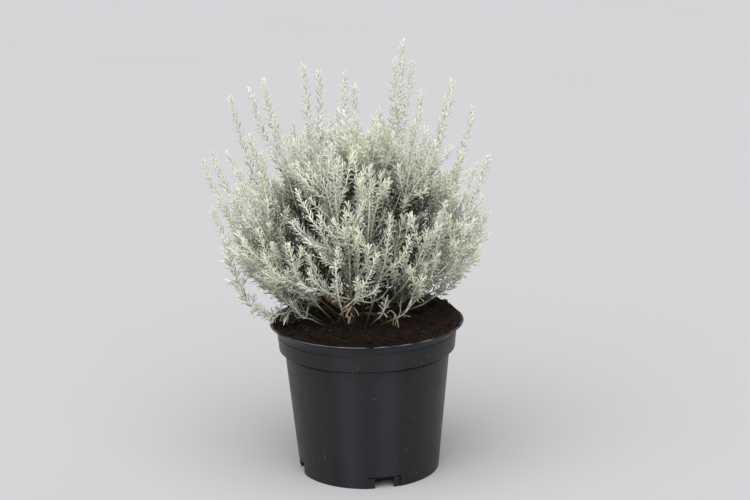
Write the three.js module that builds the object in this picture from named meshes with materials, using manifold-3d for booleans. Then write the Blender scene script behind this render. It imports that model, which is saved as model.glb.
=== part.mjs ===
// A curry plant in its nursery pot, in millimetres, +Z up.
// The origin is the middle of the pot's foot, and -Y is the side seen in front.
// A black plastic pot holds a ball of potting soil. An old woody crown stands in the soil, and round
// it the leafy stems stand in plain holes: each is one branch with its side shoots and needle leaves.
import * as THREE from "three";
import { mergeVertices } from "three/addons/utils/BufferGeometryUtils.js";
import Module from "manifold-3d";

const wasm = await Module();
wasm.setup();

const { PI, sin, cos, sqrt, atan2, min, max, floor } = Math;
const radians = (degrees) => (degrees * PI) / 180;
const vec = (x, y, z) => new THREE.Vector3(x, y, z);
const GOLDEN_ANGLE = radians(137.508);

// Driving dimensions

const GAP = 0.35; // between pieces that rest on each other
const POT = {
  height: 150,
  rimRadius: 95,
  bandTop: 139.3, // the flare starts here
  bandTopRadius: 87.8,
  bandBottom: 123.6,
  bandBottomRadius: 86.3,
  wallTopRadius: 81.2,
  footRadius: 69.4,
  wall: 1.4,
  floorHeight: 8.4, // the raised floor's underside
  footWall: 2.6,
  footEdge: 0.7, // the bevel round the foot
  centreFootRadius: 13,
  centreFootTaper: 2,
  rimEdge: 1, // the upright outer edge of the rim
  flareSteps: 3,
  segments: 36,
};
const NOTCH = {
  count: 4,
  firstAngle: -77.7, // degrees from +X, so that one faces the front, a little to the right
  width: 19,
  height: 7.4,
  panelWidth: 31.5,
  panelHeight: 8.6,
  panelDepth: 0.9,
  overcut: 1, // how far the cutting boxes reach past the plastic
};
const DRAIN = { count: 4, radius: 4.5, ring: 46, depth: 8, segments: 8 };
const SOIL = {
  level: 147.5,
  mound: 7,
  lump: 1.9,
  edgeDrop: 0.6, // at the wall
  rings: 5,
  segments: 27,
};

// Where the plant stands, and how far its shoots reach from there
const CROWN = {
  x: -10,
  y: 0,
  innerRadius: 3, // where the most upright stems are rooted
  rootDisc: 36, // how much further out the most level ones are
  rootSpacing: 7,
  rootStep: 1.05, // of the spiral on which a free root is sought
  rootTries: 240,
};
const DOME = {
  reach: 285,
  lowest: 21, // degrees above the rim
  fullness: 1.15,
  topDrop: 0.36, // how much shorter some shoots are, at the top and at the skirt
  sideDrop: 0.12,
  steadyDrop: 0.25, // the share of that drop which every shoot has
  firstAzimuth: 0.5,
  candidates: 120,
  stride: 37,
  spacing: 25,
  highest: 362, // only the listed tips stand above this
};
const STEM = {
  count: 54,
  footRadius: 1.8,
  tipRadius: 1,
  footDepth: 9,
  footInset: 0.5, // the curve starts this far under the soil's surface
  segments: 7,
  gap: 1.6,
  // An angle in degrees, what the tip's elevation adds to it, and its share of the span
  leaving: { angle: 14, lean: 0.76, share: 0.38 },
  arriving: { angle: 62, lean: 0.3, share: 0.36 },
};
const SIDE_SHOOT = {
  thickness: 0.85, // of the leader's
  root: { x: 2.2, y: 3.6 },
  segments: 3,
  leaving: { lean: 0.4, share: 0.36 },
  arriving: { ahead: 0.3, lean: 0.5, share: 0.32 },
  starts: [0.34, 0.5], // shares of the leader's length
  levels: [0.8, 0.92], // and where their tips are beside it
  offset: 24,
  lowestTip: 22, // above the rim, up to this far from the crown
  levelReach: 56,
  rise: 0.7, // and how fast the lowest tip rises beyond that
  spacing: 11,
  turns: 8,
  gap: 2.2,
  free: 10, // the distance from its start beyond which it has left its leader
};
const LEAF = {
  length: 12.5,
  tipLength: 8,
  endLength: 6.4, // the last leaf, straight on from the tip
  root: { x: 1.35, y: 1.9 },
  firstBelow: 1.4, // the tip
  firstStep: 3.4,
  stepGrowth: 1.35,
  retry: 0.7, // further down, up to so many times
  tries: 5,
  narrowest: 16, // degrees between the youngest leaf and its stem
  widest: 52,
  widening: 4.5, // degrees per millimetre below the tip
  fullBelow: 14, // the tip, leaves have their full length
  bareFoot: 36,
  gap: 0.45,
  soilGap: 1.5,
};
const SEED = 20241;

// A repeatable draw from 0 to 1
let drawn = SEED;
function draw() {
  drawn = (drawn * 1664525 + 1013904223) % 4294967296;
  return drawn / 4294967296;
}

// Solids

function solidFrom(positions, faces) {
  const mesh = new wasm.Mesh({
    numProp: 3,
    vertProperties: new Float32Array(positions),
    triVerts: new Uint32Array(faces),
  });
  return new wasm.Manifold(mesh);
}

// A closed geometry as a solid that can be cut and joined
function solidOf(geometry) {
  const bare = geometry.clone();
  bare.deleteAttribute("normal");
  bare.deleteAttribute("uv");
  const merged = mergeVertices(bare, 1e-4);
  const faces = [];
  const index = merged.index.array;
  for (let i = 0; i < index.length; i += 3) {
    const [a, b, c] = index.slice(i, i + 3);
    if (a !== b && b !== c && a !== c) faces.push(a, b, c);
  }
  return solidFrom(merged.attributes.position.array, faces);
}

function geometryOf(solid) {
  const mesh = solid.getMesh();
  const positions = new Float32Array(mesh.numVert * 3);
  for (let i = 0; i < mesh.numVert; i++) {
    const first = i * mesh.numProp;
    positions.set(mesh.vertProperties.subarray(first, first + 3), i * 3);
  }
  const geometry = new THREE.BufferGeometry();
  geometry.setAttribute("position", new THREE.BufferAttribute(positions, 3));
  geometry.setIndex(new THREE.BufferAttribute(new Uint32Array(mesh.triVerts), 1));
  geometry.computeVertexNormals();
  return geometry;
}

// A profile of [radius, height] pairs turned about the Z axis
function turned(profile, segments) {
  const points = profile.map(([radius, height]) => new THREE.Vector2(radius, height));
  return new THREE.LatheGeometry(points, segments).rotateX(PI / 2);
}

// A box that sticks out from the Z axis at an angle, from one radius to another
function radialBox(angle, innerRadius, outerRadius, width, bottom, top) {
  const box = new THREE.BoxGeometry(outerRadius - innerRadius, width, top - bottom);
  box.translate((innerRadius + outerRadius) / 2, 0, (bottom + top) / 2);
  return solidOf(box.rotateZ(angle));
}

// The pot

// The rim flares out along a quarter wave that leaves the band straight up.
function flare(radiusFrom, radiusTo, bottom, top) {
  return Array.from({ length: POT.flareSteps }, (_, i) => {
    const turn = (((i + 1) / POT.flareSteps) * PI) / 2;
    return [radiusFrom + (radiusTo - radiusFrom) * (1 - cos(turn)), bottom + (top - bottom) * sin(turn)];
  });
}

const wallRadius = (height) =>
  POT.footRadius + ((POT.wallTopRadius - POT.footRadius) * height) / POT.bandBottom;

// From the middle of the floor up to the rim's inner edge
function potInside() {
  const p = POT;
  const top = p.floorHeight + p.wall;
  return [
    [0, top],
    [wallRadius(top) - p.wall, top],
    [p.wallTopRadius - p.wall, p.bandBottom + p.wall],
    [p.bandBottomRadius - p.wall, p.bandBottom + p.wall],
    [p.bandTopRadius - p.wall, p.bandTop + p.wall],
    ...flare(p.bandTopRadius - p.wall, p.rimRadius - p.wall, p.bandTop + p.wall, p.height),
  ];
}

function potProfile() {
  const p = POT;
  const footInside = p.footRadius - p.footWall;
  return [
    [0, 0],
    [p.centreFootRadius, 0],
    [p.centreFootRadius + p.centreFootTaper, p.floorHeight],
    [footInside, p.floorHeight],
    [footInside, 0],
    [p.footRadius - p.footEdge, 0],
    [wallRadius(p.footEdge), p.footEdge],
    [p.wallTopRadius, p.bandBottom],
    [p.bandBottomRadius, p.bandBottom],
    [p.bandTopRadius, p.bandTop],
    ...flare(p.bandTopRadius, p.rimRadius, p.bandTop, p.height - p.rimEdge),
    [p.rimRadius, p.height],
    ...potInside().reverse(),
  ];
}

// A drain notch in the foot ring: an opening inside a shallow panel whose floor is round
function cutNotch(pot, angle) {
  const inner = POT.footRadius - POT.footWall - NOTCH.overcut;
  const outer = POT.wallTopRadius;
  const panelRadius = POT.footRadius - NOTCH.panelDepth;
  const round = new THREE.CylinderGeometry(panelRadius, panelRadius, 3 * NOTCH.panelHeight, POT.segments);
  const panel = radialBox(angle, inner, outer, NOTCH.panelWidth, -NOTCH.overcut, NOTCH.panelHeight);
  const opening = radialBox(angle, inner, outer, NOTCH.width, -NOTCH.overcut, NOTCH.height);
  return pot.subtract(opening).subtract(panel.subtract(solidOf(round.rotateX(PI / 2))));
}

function cutDrain(pot, angle) {
  const drill = new THREE.CylinderGeometry(DRAIN.radius, DRAIN.radius, DRAIN.depth, DRAIN.segments);
  drill.rotateX(PI / 2).translate(DRAIN.ring * cos(angle), DRAIN.ring * sin(angle), POT.floorHeight);
  return pot.subtract(solidOf(drill));
}

function makePot() {
  let pot = solidOf(turned(potProfile(), POT.segments));
  for (let i = 0; i < NOTCH.count; i++) {
    pot = cutNotch(pot, radians(NOTCH.firstAngle) + (i * 2 * PI) / NOTCH.count);
  }
  for (let i = 0; i < DRAIN.count; i++) {
    pot = cutDrain(pot, radians(NOTCH.firstAngle) + ((i + 0.5) * 2 * PI) / DRAIN.count);
  }
  return pot;
}

// The soil

// The soil's top is a low mound with lumps, which are lost at the pot's wall. The lumps are three waves.
function soilHeight(x, y) {
  const share = min(1, sqrt(x * x + y * y) / POT.rimRadius);
  const lumps =
    sin(x * 0.21 + 1.3) * sin(y * 0.19 + 0.4) +
    0.7 * sin(x * 0.43 - y * 0.28 + 2.1) +
    0.5 * sin(x * 0.13 + y * 0.57 + 0.9);
  return SOIL.level + SOIL.mound * (1 - share * share) + SOIL.lump * lumps * (1 - share ** 6);
}

// The ball of soil stands against the pot's wall, up to the last point of its profile below the level.
function makeSoil() {
  const wall = potInside()
    .slice(1)
    .map(([radius, height]) => [radius - GAP, height + GAP])
    .filter(([, height]) => height < SOIL.level);
  const edge = wall[wall.length - 1][0];
  const profile = [[0, wall[0][1]], ...wall, [edge, SOIL.level - SOIL.edgeDrop]];
  const firstOnTop = profile.length;
  for (let ring = SOIL.rings - 1; ring >= 0; ring--) {
    profile.push([(edge * ring) / SOIL.rings, SOIL.level]);
  }
  const geometry = turned(profile, SOIL.segments);
  const position = geometry.attributes.position;
  for (let i = 0; i < position.count; i++) {
    if (i % profile.length < firstOnTop) continue;
    position.setZ(i, soilHeight(position.getX(i), position.getY(i)));
  }
  return solidOf(geometry);
}

// Shoots

const THIRD = (2 * PI) / 3;
const ROOT = {
  gap: 0.4, // between what grows from one side of a shoot
  lift: 0.12, // how far each root swells out of its side
  halfWidth: 0.36, // of the side, at most
  across: 0.1, // how far it moves across its side for an angle off the side's middle
  turn: 0.4, // and how far it turns
};
const BALL_STEP = 2.5; // along a shoot, where its room is measured

// A shoot follows a cubic curve in straight segments, with a radius at each end. A foot carries it on
// straight below its start.
class Shoot {
  constructor(points, footRadius, tipRadius, segments, footDepth = 0) {
    this.curve = new THREE.CubicBezierCurve3(...points);
    this.radii = [footRadius, tipRadius];
    this.segments = segments;
    this.length = this.curve.getLength();
    this.tip = points[3];
    const leaving = points[1].clone().sub(points[0]);
    const arriving = points[3].clone().sub(points[2]);
    // Its first corner points square to the plane that it bends in, so that its sides aren't twisted.
    this.side = leaving.clone().cross(arriving);
    if (this.side.length() < 1) this.side = vec(-leaving.y, leaving.x, 0);
    this.side.normalize();
    const foot = leaving.setLength(-footDepth).add(points[0]);
    this.stations = Array.from({ length: segments + 1 }, (_, i) => this.curve.getPoint(i / segments));
    if (footDepth) this.stations[0] = foot;
    this.footShare = footDepth ? -footDepth / this.length : 0;
    this.roots = [];
  }
  // The share of the length at a station: the first one is the foot.
  shareAt(station) {
    return station ? station / this.segments : this.footShare;
  }
  stationBelow(share) {
    return max(0, min(this.segments - 1, floor(share * this.segments)));
  }
  point(share) {
    const below = this.stationBelow(share);
    const from = this.shareAt(below);
    const along = (share - from) / (this.shareAt(below + 1) - from);
    return this.stations[below].clone().lerp(this.stations[below + 1], along);
  }
  tangent(share) {
    return this.curve.getTangent(max(0, share));
  }
  // The direction of the straight segment at a share of the length
  heading(share) {
    const below = this.stationBelow(share);
    return this.stations[below + 1].clone().sub(this.stations[below]).normalize();
  }
  radius(share) {
    return this.radii[0] + (this.radii[1] - this.radii[0]) * max(0, share);
  }
  // Where something at an angle round the shoot has its root: in the flat side that it is nearest to.
  // There is none where the root would reach over a corner, or over another root.
  rootAt(share, angle, size) {
    const station = this.stationBelow(share);
    const turns = (((angle / THIRD) % 3) + 3) % 3;
    const side = floor(turns);
    const aside = turns - side - 0.5;
    const from = this.shareAt(station);
    const height = (this.shareAt(station + 1) - from) * this.length;
    const along = (share - from) / (this.shareAt(station + 1) - from);
    const margin = size.y / height;
    if (along < margin || along > 1 - margin) return null;
    const overlaps = (root) =>
      root.station === station &&
      root.side === side &&
      Math.abs(root.along - along) * height < (root.size.y + size.y) / 2 + ROOT.gap;
    if (this.roots.some(overlaps)) return null;
    const across = 0.5 + ROOT.across * aside;
    const corners = [0, THIRD, 2 * THIRD];
    const outward = (side + 0.5 + ROOT.turn * aside) * THIRD;
    return { station, side, along, across, size, corners, angle: outward };
  }
  // The angle round the shoot that a direction points at
  angleOf(share, direction) {
    return atan2(direction.dot(this.around(share, PI / 2)), direction.dot(this.around(share, 0)));
  }
  // The direction at an angle round the shoot, square to it
  around(share, angle) {
    const tangent = this.tangent(share);
    const first = this.side.clone().addScaledVector(tangent, -this.side.dot(tangent)).normalize();
    const second = tangent.clone().cross(first);
    return first.multiplyScalar(cos(angle)).addScaledVector(second, sin(angle));
  }
}

// A shoot's body has three flat sides. Each leaf is drawn out to a point from a small triangle in one
// of those sides, and each side shoot grows out of such a triangle too, so that a branch and all that
// it carries are one closed surface.
class Surface {
  positions = [];
  faces = [];
  add(place) {
    return this.positions.push(place.x, place.y, place.z) / 3 - 1;
  }
  place(index) {
    return vec(...this.positions.slice(index * 3, index * 3 + 3));
  }
  // A cone from a ring of points to one point
  close(ring, place) {
    const point = this.add(place);
    ring.forEach((index, i) => this.faces.push(index, ring[(i + 1) % ring.length], point));
  }
  ring(shoot, station, extra = 0) {
    const share = shoot.shareAt(station);
    return [0, 1, 2].map((corner) => {
      const out = shoot.around(share, corner * THIRD).multiplyScalar(shoot.radius(share) + extra);
      return this.add(out.add(shoot.stations[station]));
    });
  }
  // One side of a body: the triangles that things grow from are left open in it.
  side([a, b, c, d], roots) {
    const [pa, pb, pc, pd] = [a, b, c, d].map((index) => this.place(index));
    const width = pa.distanceTo(pb);
    const height = pa.distanceTo(pd);
    const flat = ([x, y]) => new THREE.Vector2(x * width, y * height);
    const lift = pb.clone().sub(pa).cross(pd.clone().sub(pa)).setLength(ROOT.lift);
    const onSide = ([x, y]) => pa.clone().lerp(pb, x).lerp(pd.clone().lerp(pc, x), y);
    const index = [a, b, c, d];
    const holes = roots.map(({ across, along, size, corners, grow }) => {
      const [x, y] = [min(ROOT.halfWidth, size.x / width / 2), size.y / height / 2];
      const places = corners.map((turn) => [across + x * cos(turn), along + y * sin(turn)]);
      const ring = places.map((place) => this.add(onSide(place).add(lift)));
      index.push(...ring);
      grow(ring);
      return places.map(flat);
    });
    const outline = [[0, 0], [1, 0], [1, 1], [0, 1]].map(flat);
    const points = [...outline, ...holes.flat()];
    for (const face of THREE.ShapeUtils.triangulateShape(outline, holes)) {
      if (THREE.ShapeUtils.area(face.map((i) => points[i])) < 0) face.reverse();
      this.faces.push(...face.map((i) => index[i]));
    }
  }
  // The body of a shoot above its first ring, with its leaves and side shoots
  grow(shoot, firstRing) {
    let below = firstRing;
    for (let station = 1; station <= shoot.segments; station++) {
      const above = this.ring(shoot, station);
      for (let side = 0; side < 3; side++) {
        const next = (side + 1) % 3;
        const here = shoot.roots.filter((root) => root.station === station - 1 && root.side === side);
        const roots = here.map(({ shoot: other, end, ...root }) => ({
          ...root,
          grow: (ring) => (other ? this.grow(other, ring) : this.close(ring, end)),
        }));
        this.side([below[side], below[next], above[next], above[side]], roots);
      }
      below = above;
    }
    this.close(below, shoot.tip.clone().addScaledVector(shoot.tangent(1), LEAF.endLength));
  }
  solid() {
    return solidFrom(this.positions, this.faces);
  }
}

function branchSolid(main) {
  const surface = new Surface();
  const foot = surface.ring(main, 0);
  surface.faces.push(foot[0], foot[2], foot[1]);
  surface.grow(main, foot);
  return surface.solid();
}

// The plain hole that a leader stands in
function holeFor(main) {
  const surface = new Surface();
  const [foot, top] = [0, 1].map((station) => surface.ring(main, station, 2 * GAP));
  surface.faces.push(foot[0], foot[2], foot[1], ...top);
  for (let side = 0; side < 3; side++) {
    const next = (side + 1) % 3;
    surface.side([foot[side], foot[next], top[next], top[side]], []);
  }
  return surface.solid();
}

// Room for what grows: balls along the shoots, each with its branch's number
const taken = [];

function ballsOf(shoot) {
  const count = Math.ceil(shoot.length / BALL_STEP);
  return Array.from({ length: count + 1 }, (_, i) => {
    const share = shoot.footShare + ((1 - shoot.footShare) * i) / count;
    return { place: shoot.point(share), radius: shoot.radius(share) };
  });
}

function isClear(node, place, reach) {
  return taken.every((ball) => ball.node === node || ball.place.distanceTo(place) > reach + ball.radius);
}

const shootIsClear = (node, shoot, gap) =>
  ballsOf(shoot).every(({ place, radius }) => isClear(node, place, radius + gap));

function plantShoot(node, shoot) {
  taken.push(...ballsOf(shoot).map(({ place, radius }) => ({ node, place, radius })));
}

// The crown: old wood at the middle of the plant

// A stub out of the soil with a root, then the arms it carries: one to the left and up, one along the
// soil to the right, one behind, and a twig that hooks down in front. Each is the four points of its
// curve, and a radius at each end.
const CROWN_ARMS = [
  [[-12, -14, 150], [-13, -15, 155], [-14, -16, 160], [-17, -18, 164], [4.4, 3.4]],
  [[-16, -17, 162], [-24, -20, 168], [-34, -23, 174], [-43, -24, 186], [3, 1.9]],
  [[-14, -17, 160], [-2, -23, 163], [10, -26, 164], [24, -28, 160], [2.2, 1.4]],
  [[-15, -16, 161], [-16, -8, 167], [-18, 2, 172], [-22, 10, 180], [2.4, 1.4]],
  [[-8, -20, 161.5], [-8, -26, 163], [-12, -32, 161], [-15, -38, 156.5], [1.3, 0.9]],
];
const CROWN_DEPTH = 14; // of the stub's foot
const WOOD_SEGMENTS = { along: 4, round: 6 };

const crownShoots = CROWN_ARMS.map((arm, i) => {
  const radii = arm[4];
  const points = arm.slice(0, 4).map((point) => vec(...point));
  return new Shoot(points, ...radii, WOOD_SEGMENTS.along, i ? 0 : CROWN_DEPTH);
});

// Old wood is round, so its body is a cylinder bent along the curve.
function woodSolid(shoot, extra = 0) {
  const geometry = new THREE.CylinderGeometry(1, 1, 1, WOOD_SEGMENTS.round, shoot.segments);
  const position = geometry.attributes.position;
  for (let i = 0; i < position.count; i++) {
    const station = Math.round((position.getY(i) + 0.5) * shoot.segments);
    const share = shoot.shareAt(station);
    const round = sqrt(position.getX(i) ** 2 + position.getZ(i) ** 2) * (shoot.radius(share) + extra);
    const out = shoot.around(share, atan2(position.getX(i), position.getZ(i))).multiplyScalar(round);
    const place = out.add(shoot.stations[station]);
    position.setXYZ(i, place.x, place.y, place.z);
  }
  return solidOf(geometry);
}

// The leafy branches

// Where the highest leaves end that show against the background, as [x, y, z]: the first is over the
// branch's leader, and the others are over its side shoots.
const OUTLINE_BRANCHES = [
  [[40, 14, 425], [32, -4, 409], [48, 30, 403]],
  [[-53, -42, 411], [-40, -24, 403]],
  [[-96, 52, 385], [-109, 38, 378]],
  [[-17, 58, 389], [-7, 74, 373]],
  [[87, 40, 382], [82, 58, 364]],
  [[-122, -30, 382], [-104, -44, 348]],
  [[103, -26, 367], [92, -48, 328]],
  [[54, -62, 389], [66, -78, 344]],
  [[-153, 8, 312], [-147, 26, 318], [-133, 44, 315]],
  [[120, 14, 313], [110, 34, 300]],
  [[-82, -20, 361], [-66, -6, 350]],
  [[-72, 80, 322], [-92, 92, 304]],
  [[11, -8, 348], [2, -30, 336]],
  [[118, -10, 264], [111, -28, 282]],
  [[-145, -12, 271], [-137, -32, 288]],
  [[109, 10, 221], [100, 30, 214]],
  [[-135, 16, 232], [-122, 36, 224]],
  [[74, 0, 189], [90, -18, 203]],
  [[-104, 0, 206], [-96, 22, 198]],
];
const OUTLINE_STARTS = [0.5, 0.36]; // where those side shoots leave their leader

// The low shoot that runs along the soil, over the rim and up beside the pot
const TRAILING = [[-24, -22, 152], [-58, -30, 215], [-108, -30, 95], [-134, -25, 241]];

const elevationOf = (tip) => {
  const aside = sqrt((tip.x - CROWN.x) ** 2 + (tip.y - CROWN.y) ** 2);
  return atan2(tip.z - POT.height, aside);
};

// The leader of a branch leaves the soil leaning out, and turns up towards its tip.
function leader(root, tip) {
  const elevation = elevationOf(tip);
  const azimuth = atan2(tip.y - root.y, tip.x - root.x);
  const span = root.distanceTo(tip);
  const [leaving, arriving] = [STEM.leaving, STEM.arriving].map(({ angle, lean, share }) => {
    const up = radians(angle) + lean * elevation;
    return vec(cos(azimuth) * cos(up), sin(azimuth) * cos(up), sin(up)).multiplyScalar(span * share);
  });
  const points = [root, root.clone().add(leaving), tip.clone().sub(arriving), tip];
  return new Shoot(points, STEM.footRadius, STEM.tipRadius, STEM.segments, STEM.footDepth);
}

// A side shoot leaves its leader at a share of the length and turns up beside it to its own tip.
function sideShoot(parent, share, tip) {
  const start = parent.point(share);
  const span = start.distanceTo(tip);
  const { leaving, arriving } = SIDE_SHOOT;
  const first = tip.clone().sub(start).normalize().addScaledVector(parent.tangent(share), leaving.lean);
  const last = parent.tangent(min(1, share + arriving.ahead)).add(vec(0, 0, arriving.lean));
  const points = [
    start,
    start.clone().add(first.setLength(span * leaving.share)),
    tip.clone().sub(last.setLength(span * arriving.share)),
    tip,
  ];
  const footRadius = parent.radius(share) * SIDE_SHOOT.thickness;
  return new Shoot(points, footRadius, STEM.tipRadius, SIDE_SHOOT.segments);
}

// A branch stands at the nearest root that leaves room for what was planted before.
const roots = [];

function rootedLeader(node, tip) {
  const azimuth = atan2(tip.y - CROWN.y, tip.x - CROWN.x);
  const radius = CROWN.innerRadius + CROWN.rootDisc * cos(elevationOf(tip));
  for (let tries = 0; tries < CROWN.rootTries; tries++) {
    const away = CROWN.rootStep * sqrt(tries);
    const turn = azimuth + tries * GOLDEN_ANGLE;
    const x = CROWN.x + radius * cos(azimuth) + away * cos(turn);
    const y = CROWN.y + radius * sin(azimuth) + away * sin(turn);
    if (roots.some((other) => Math.hypot(other.x - x, other.y - y) < CROWN.rootSpacing)) continue;
    const shoot = leader(vec(x, y, soilHeight(x, y) - STEM.footInset), tip);
    if (!shootIsClear(node, shoot, STEM.gap)) continue;
    roots.push({ x, y });
    return shoot;
  }
  return null;
}

// The bush's underside, above which the ruled side shoots end. It rises outwards.
function underside(place) {
  const away = Math.hypot(place.x - CROWN.x, place.y - CROWN.y);
  return POT.height + SIDE_SHOOT.lowestTip + SIDE_SHOOT.rise * max(0, away - SIDE_SHOOT.levelReach);
}

// The tips of the side shoots that a rule places: beside the leader, a little below its tip
function ruledSideTips(main) {
  const { starts, levels, offset, spacing, turns } = SIDE_SHOOT;
  return starts.flatMap((share, i) => {
    const turn = draw() * 2 * PI;
    for (let tries = 0; tries < turns; tries++) {
      const aside = main.around(levels[i], turn + (tries * 2 * PI) / turns);
      const tip = main.point(levels[i]).addScaledVector(aside, offset);
      if (tip.z > underside(tip) && isClear(0, tip, spacing)) return [[tip, share]];
    }
    return [];
  });
}

// Whether a side shoot keeps clear of its own branch, from where it has left the leader
function leavesBranch(branch, shoot) {
  const own = branch.shoots.flatMap(ballsOf);
  const beyond = ballsOf(shoot).filter(({ place }) => place.distanceTo(shoot.stations[0]) > SIDE_SHOOT.free);
  return beyond.every(({ place, radius }) =>
    own.every((ball) => ball.place.distanceTo(place) > radius + ball.radius + ROOT.gap),
  );
}

// A ruled side shoot has to leave its branch; a listed one may run up close beside its leader.
function plantBranch(branches, main, sideTips, ruled = false) {
  const node = branches.length + 1;
  plantShoot(node, main);
  const branch = { node, shoots: [main] };
  branches.push(branch);
  for (const [tip, share] of sideTips) {
    const shoot = sideShoot(main, share, tip);
    const angle = main.angleOf(share, tip.clone().sub(main.point(share)));
    const root = main.rootAt(share, angle, SIDE_SHOOT.root);
    if (!root || !shootIsClear(node, shoot, SIDE_SHOOT.gap)) continue;
    if (ruled && !leavesBranch(branch, shoot)) continue;
    // The triangle that it grows from is turned as the shoot's own corners are.
    const right = main.around(share, (root.side + 0.5) * THIRD + PI / 2);
    root.corners = root.corners.map((turn) => {
      const corner = shoot.around(0, turn);
      return atan2(corner.dot(main.tangent(share)), corner.dot(right));
    });
    main.roots.push({ ...root, shoot });
    plantShoot(node, shoot);
    branch.shoots.push(shoot);
  }
}

// A tip that a rule places on the dome: fuller at the top, and drawn in at the skirt
function domeTip(order, count) {
  const lowest = sin(radians(DOME.lowest));
  const rise = 1 - ((order + 0.5) / count) * (1 - lowest);
  const elevation = Math.asin(rise);
  const azimuth = order * GOLDEN_ANGLE + DOME.firstAzimuth;
  const most = DOME.sideDrop + (DOME.topDrop - DOME.sideDrop) * rise ** 4;
  const drop = most * (DOME.steadyDrop + (1 - DOME.steadyDrop) * draw());
  const reach = DOME.reach * rise ** DOME.fullness * (1 - drop);
  const aside = reach * cos(elevation);
  return vec(CROWN.x + aside * cos(azimuth), CROWN.y + aside * sin(azimuth), POT.height + reach * rise);
}

function planBranches() {
  const branches = [];
  crownShoots.forEach((shoot) => plantShoot(0, shoot));
  const trail = TRAILING.map((point) => vec(...point));
  const trailing = new Shoot(trail, STEM.footRadius, STEM.tipRadius, STEM.segments, STEM.footDepth);
  plantBranch(branches, trailing, []);
  roots.push(trail[0]);
  for (const places of OUTLINE_BRANCHES) {
    const [tip, ...others] = places.map(([x, y, z]) => vec(x, y, z - LEAF.endLength));
    const main = rootedLeader(branches.length + 1, tip);
    const sideTips = others.map((other, i) => [other, OUTLINE_STARTS[i]]);
    if (main) plantBranch(branches, main, sideTips);
  }
  const { candidates, stride, spacing, highest } = DOME;
  for (let i = 0; i < candidates && branches.length < STEM.count; i++) {
    // A stride through the candidates covers the dome evenly, whatever the count.
    const tip = domeTip((i * stride) % candidates, candidates);
    const tips = branches.flatMap((branch) => branch.shoots).map((shoot) => shoot.tip);
    if (tip.z > highest || tips.some((other) => other.distanceTo(tip) < spacing)) continue;
    const main = rootedLeader(branches.length + 1, tip);
    if (main) plantBranch(branches, main, ruledSideTips(main), true);
  }
  return branches;
}

// Needle leaves

// Everything that a leaf has to stay clear of: straight pieces with a radius, and the shoot they are on
const pieces = [];
const LEAF_STATION = -1; // for a piece that is a leaf itself

function addPiece(shoot, station, start, end, radius) {
  const line = new THREE.Line3(start, end);
  const reach = line.distance() / 2 + radius;
  pieces.push({ shoot, station, line, radius, reach, middle: line.getCenter(vec()) });
}

// A leaf keeps clear of everything but the segment that it grows from.
function lineIsClear(shoot, station, line, radius) {
  const middle = line.getCenter(vec());
  const reach = line.distance() / 2 + radius + LEAF.gap;
  return pieces.every((piece) => {
    if (piece.shoot === shoot && piece.station === station) return true;
    if (piece.middle.distanceTo(middle) > piece.reach + reach) return true;
    const gap = piece.shoot === shoot ? 0 : LEAF.gap;
    return sqrt(piece.line.distanceSqToLine3(line)) > piece.radius + radius + gap;
  });
}

function leafAt(shoot, below, angle) {
  const share = 1 - below / shoot.length;
  const root = shoot.rootAt(share, angle, LEAF.root);
  if (!root) return null;
  const opening = radians(min(LEAF.widest, LEAF.narrowest + LEAF.widening * below));
  const length = LEAF.tipLength + (LEAF.length - LEAF.tipLength) * min(1, below / LEAF.fullBelow);
  const direction = shoot.heading(share).multiplyScalar(cos(opening));
  direction.addScaledVector(shoot.around(share, root.angle), sin(opening)).normalize();
  const start = shoot.point(share).addScaledVector(direction, 2 * shoot.radius(share));
  const end = shoot.point(share).addScaledVector(direction, length);
  if (end.z < soilHeight(end.x, end.y) + LEAF.soilGap) return null;
  const radius = LEAF.root.x / 2;
  if (!lineIsClear(shoot, root.station, new THREE.Line3(start, end), radius)) return null;
  addPiece(shoot, LEAF_STATION, start, end, radius);
  return { ...root, end };
}

// Leaves stand close at the tip of a shoot and wider below. Where one has no room, the next angle is
// tried a little lower.
function addLeaves(shoot, bareFoot) {
  let angle = draw() * 2 * PI;
  let below = LEAF.firstBelow;
  for (let step = LEAF.firstStep; below < shoot.length - bareFoot; step += LEAF.stepGrowth) {
    for (let tries = 0; tries < LEAF.tries; tries++, below += LEAF.retry) {
      angle += GOLDEN_ANGLE;
      const leaf = leafAt(shoot, below, angle);
      if (!leaf) continue;
      shoot.roots.push(leaf);
      break;
    }
    below += step;
  }
}

// Materials and assembly

const MATERIALS = {
  pot: { color: 0x2e2e31, roughness: 0.42, metalness: 0 },
  soil: { color: 0x17120e, roughness: 0.97, metalness: 0 },
  wood: { color: 0x80604a, roughness: 0.85, metalness: 0 },
  leaf: { color: 0xb4bda2, roughness: 0.85, metalness: 0 },
};

const plant = new THREE.Group();

function addNode(name, solid, finish) {
  const mesh = new THREE.Mesh(geometryOf(solid), new THREE.MeshStandardMaterial(MATERIALS[finish]));
  mesh.name = name;
  plant.add(mesh);
}

const branches = planBranches();
const shoots = branches.flatMap((branch) => branch.shoots);
for (const shoot of shoots) {
  for (let i = 0; i < shoot.segments; i++) {
    addPiece(shoot, i, shoot.stations[i], shoot.stations[i + 1], shoot.radius(shoot.shareAt(i)));
  }
}
for (const shoot of crownShoots) addPiece(shoot, 0, shoot.stations[0], shoot.tip, 1.5 * shoot.radii[0]);
for (const branch of branches) {
  const [main, ...sides] = branch.shoots;
  addLeaves(main, LEAF.bareFoot);
  for (const side of sides) addLeaves(side, side.length / side.segments);
}

let soil = makeSoil();
for (const branch of branches) soil = soil.subtract(holeFor(branch.shoots[0]));
soil = soil.subtract(woodSolid(crownShoots[0], GAP));

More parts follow.
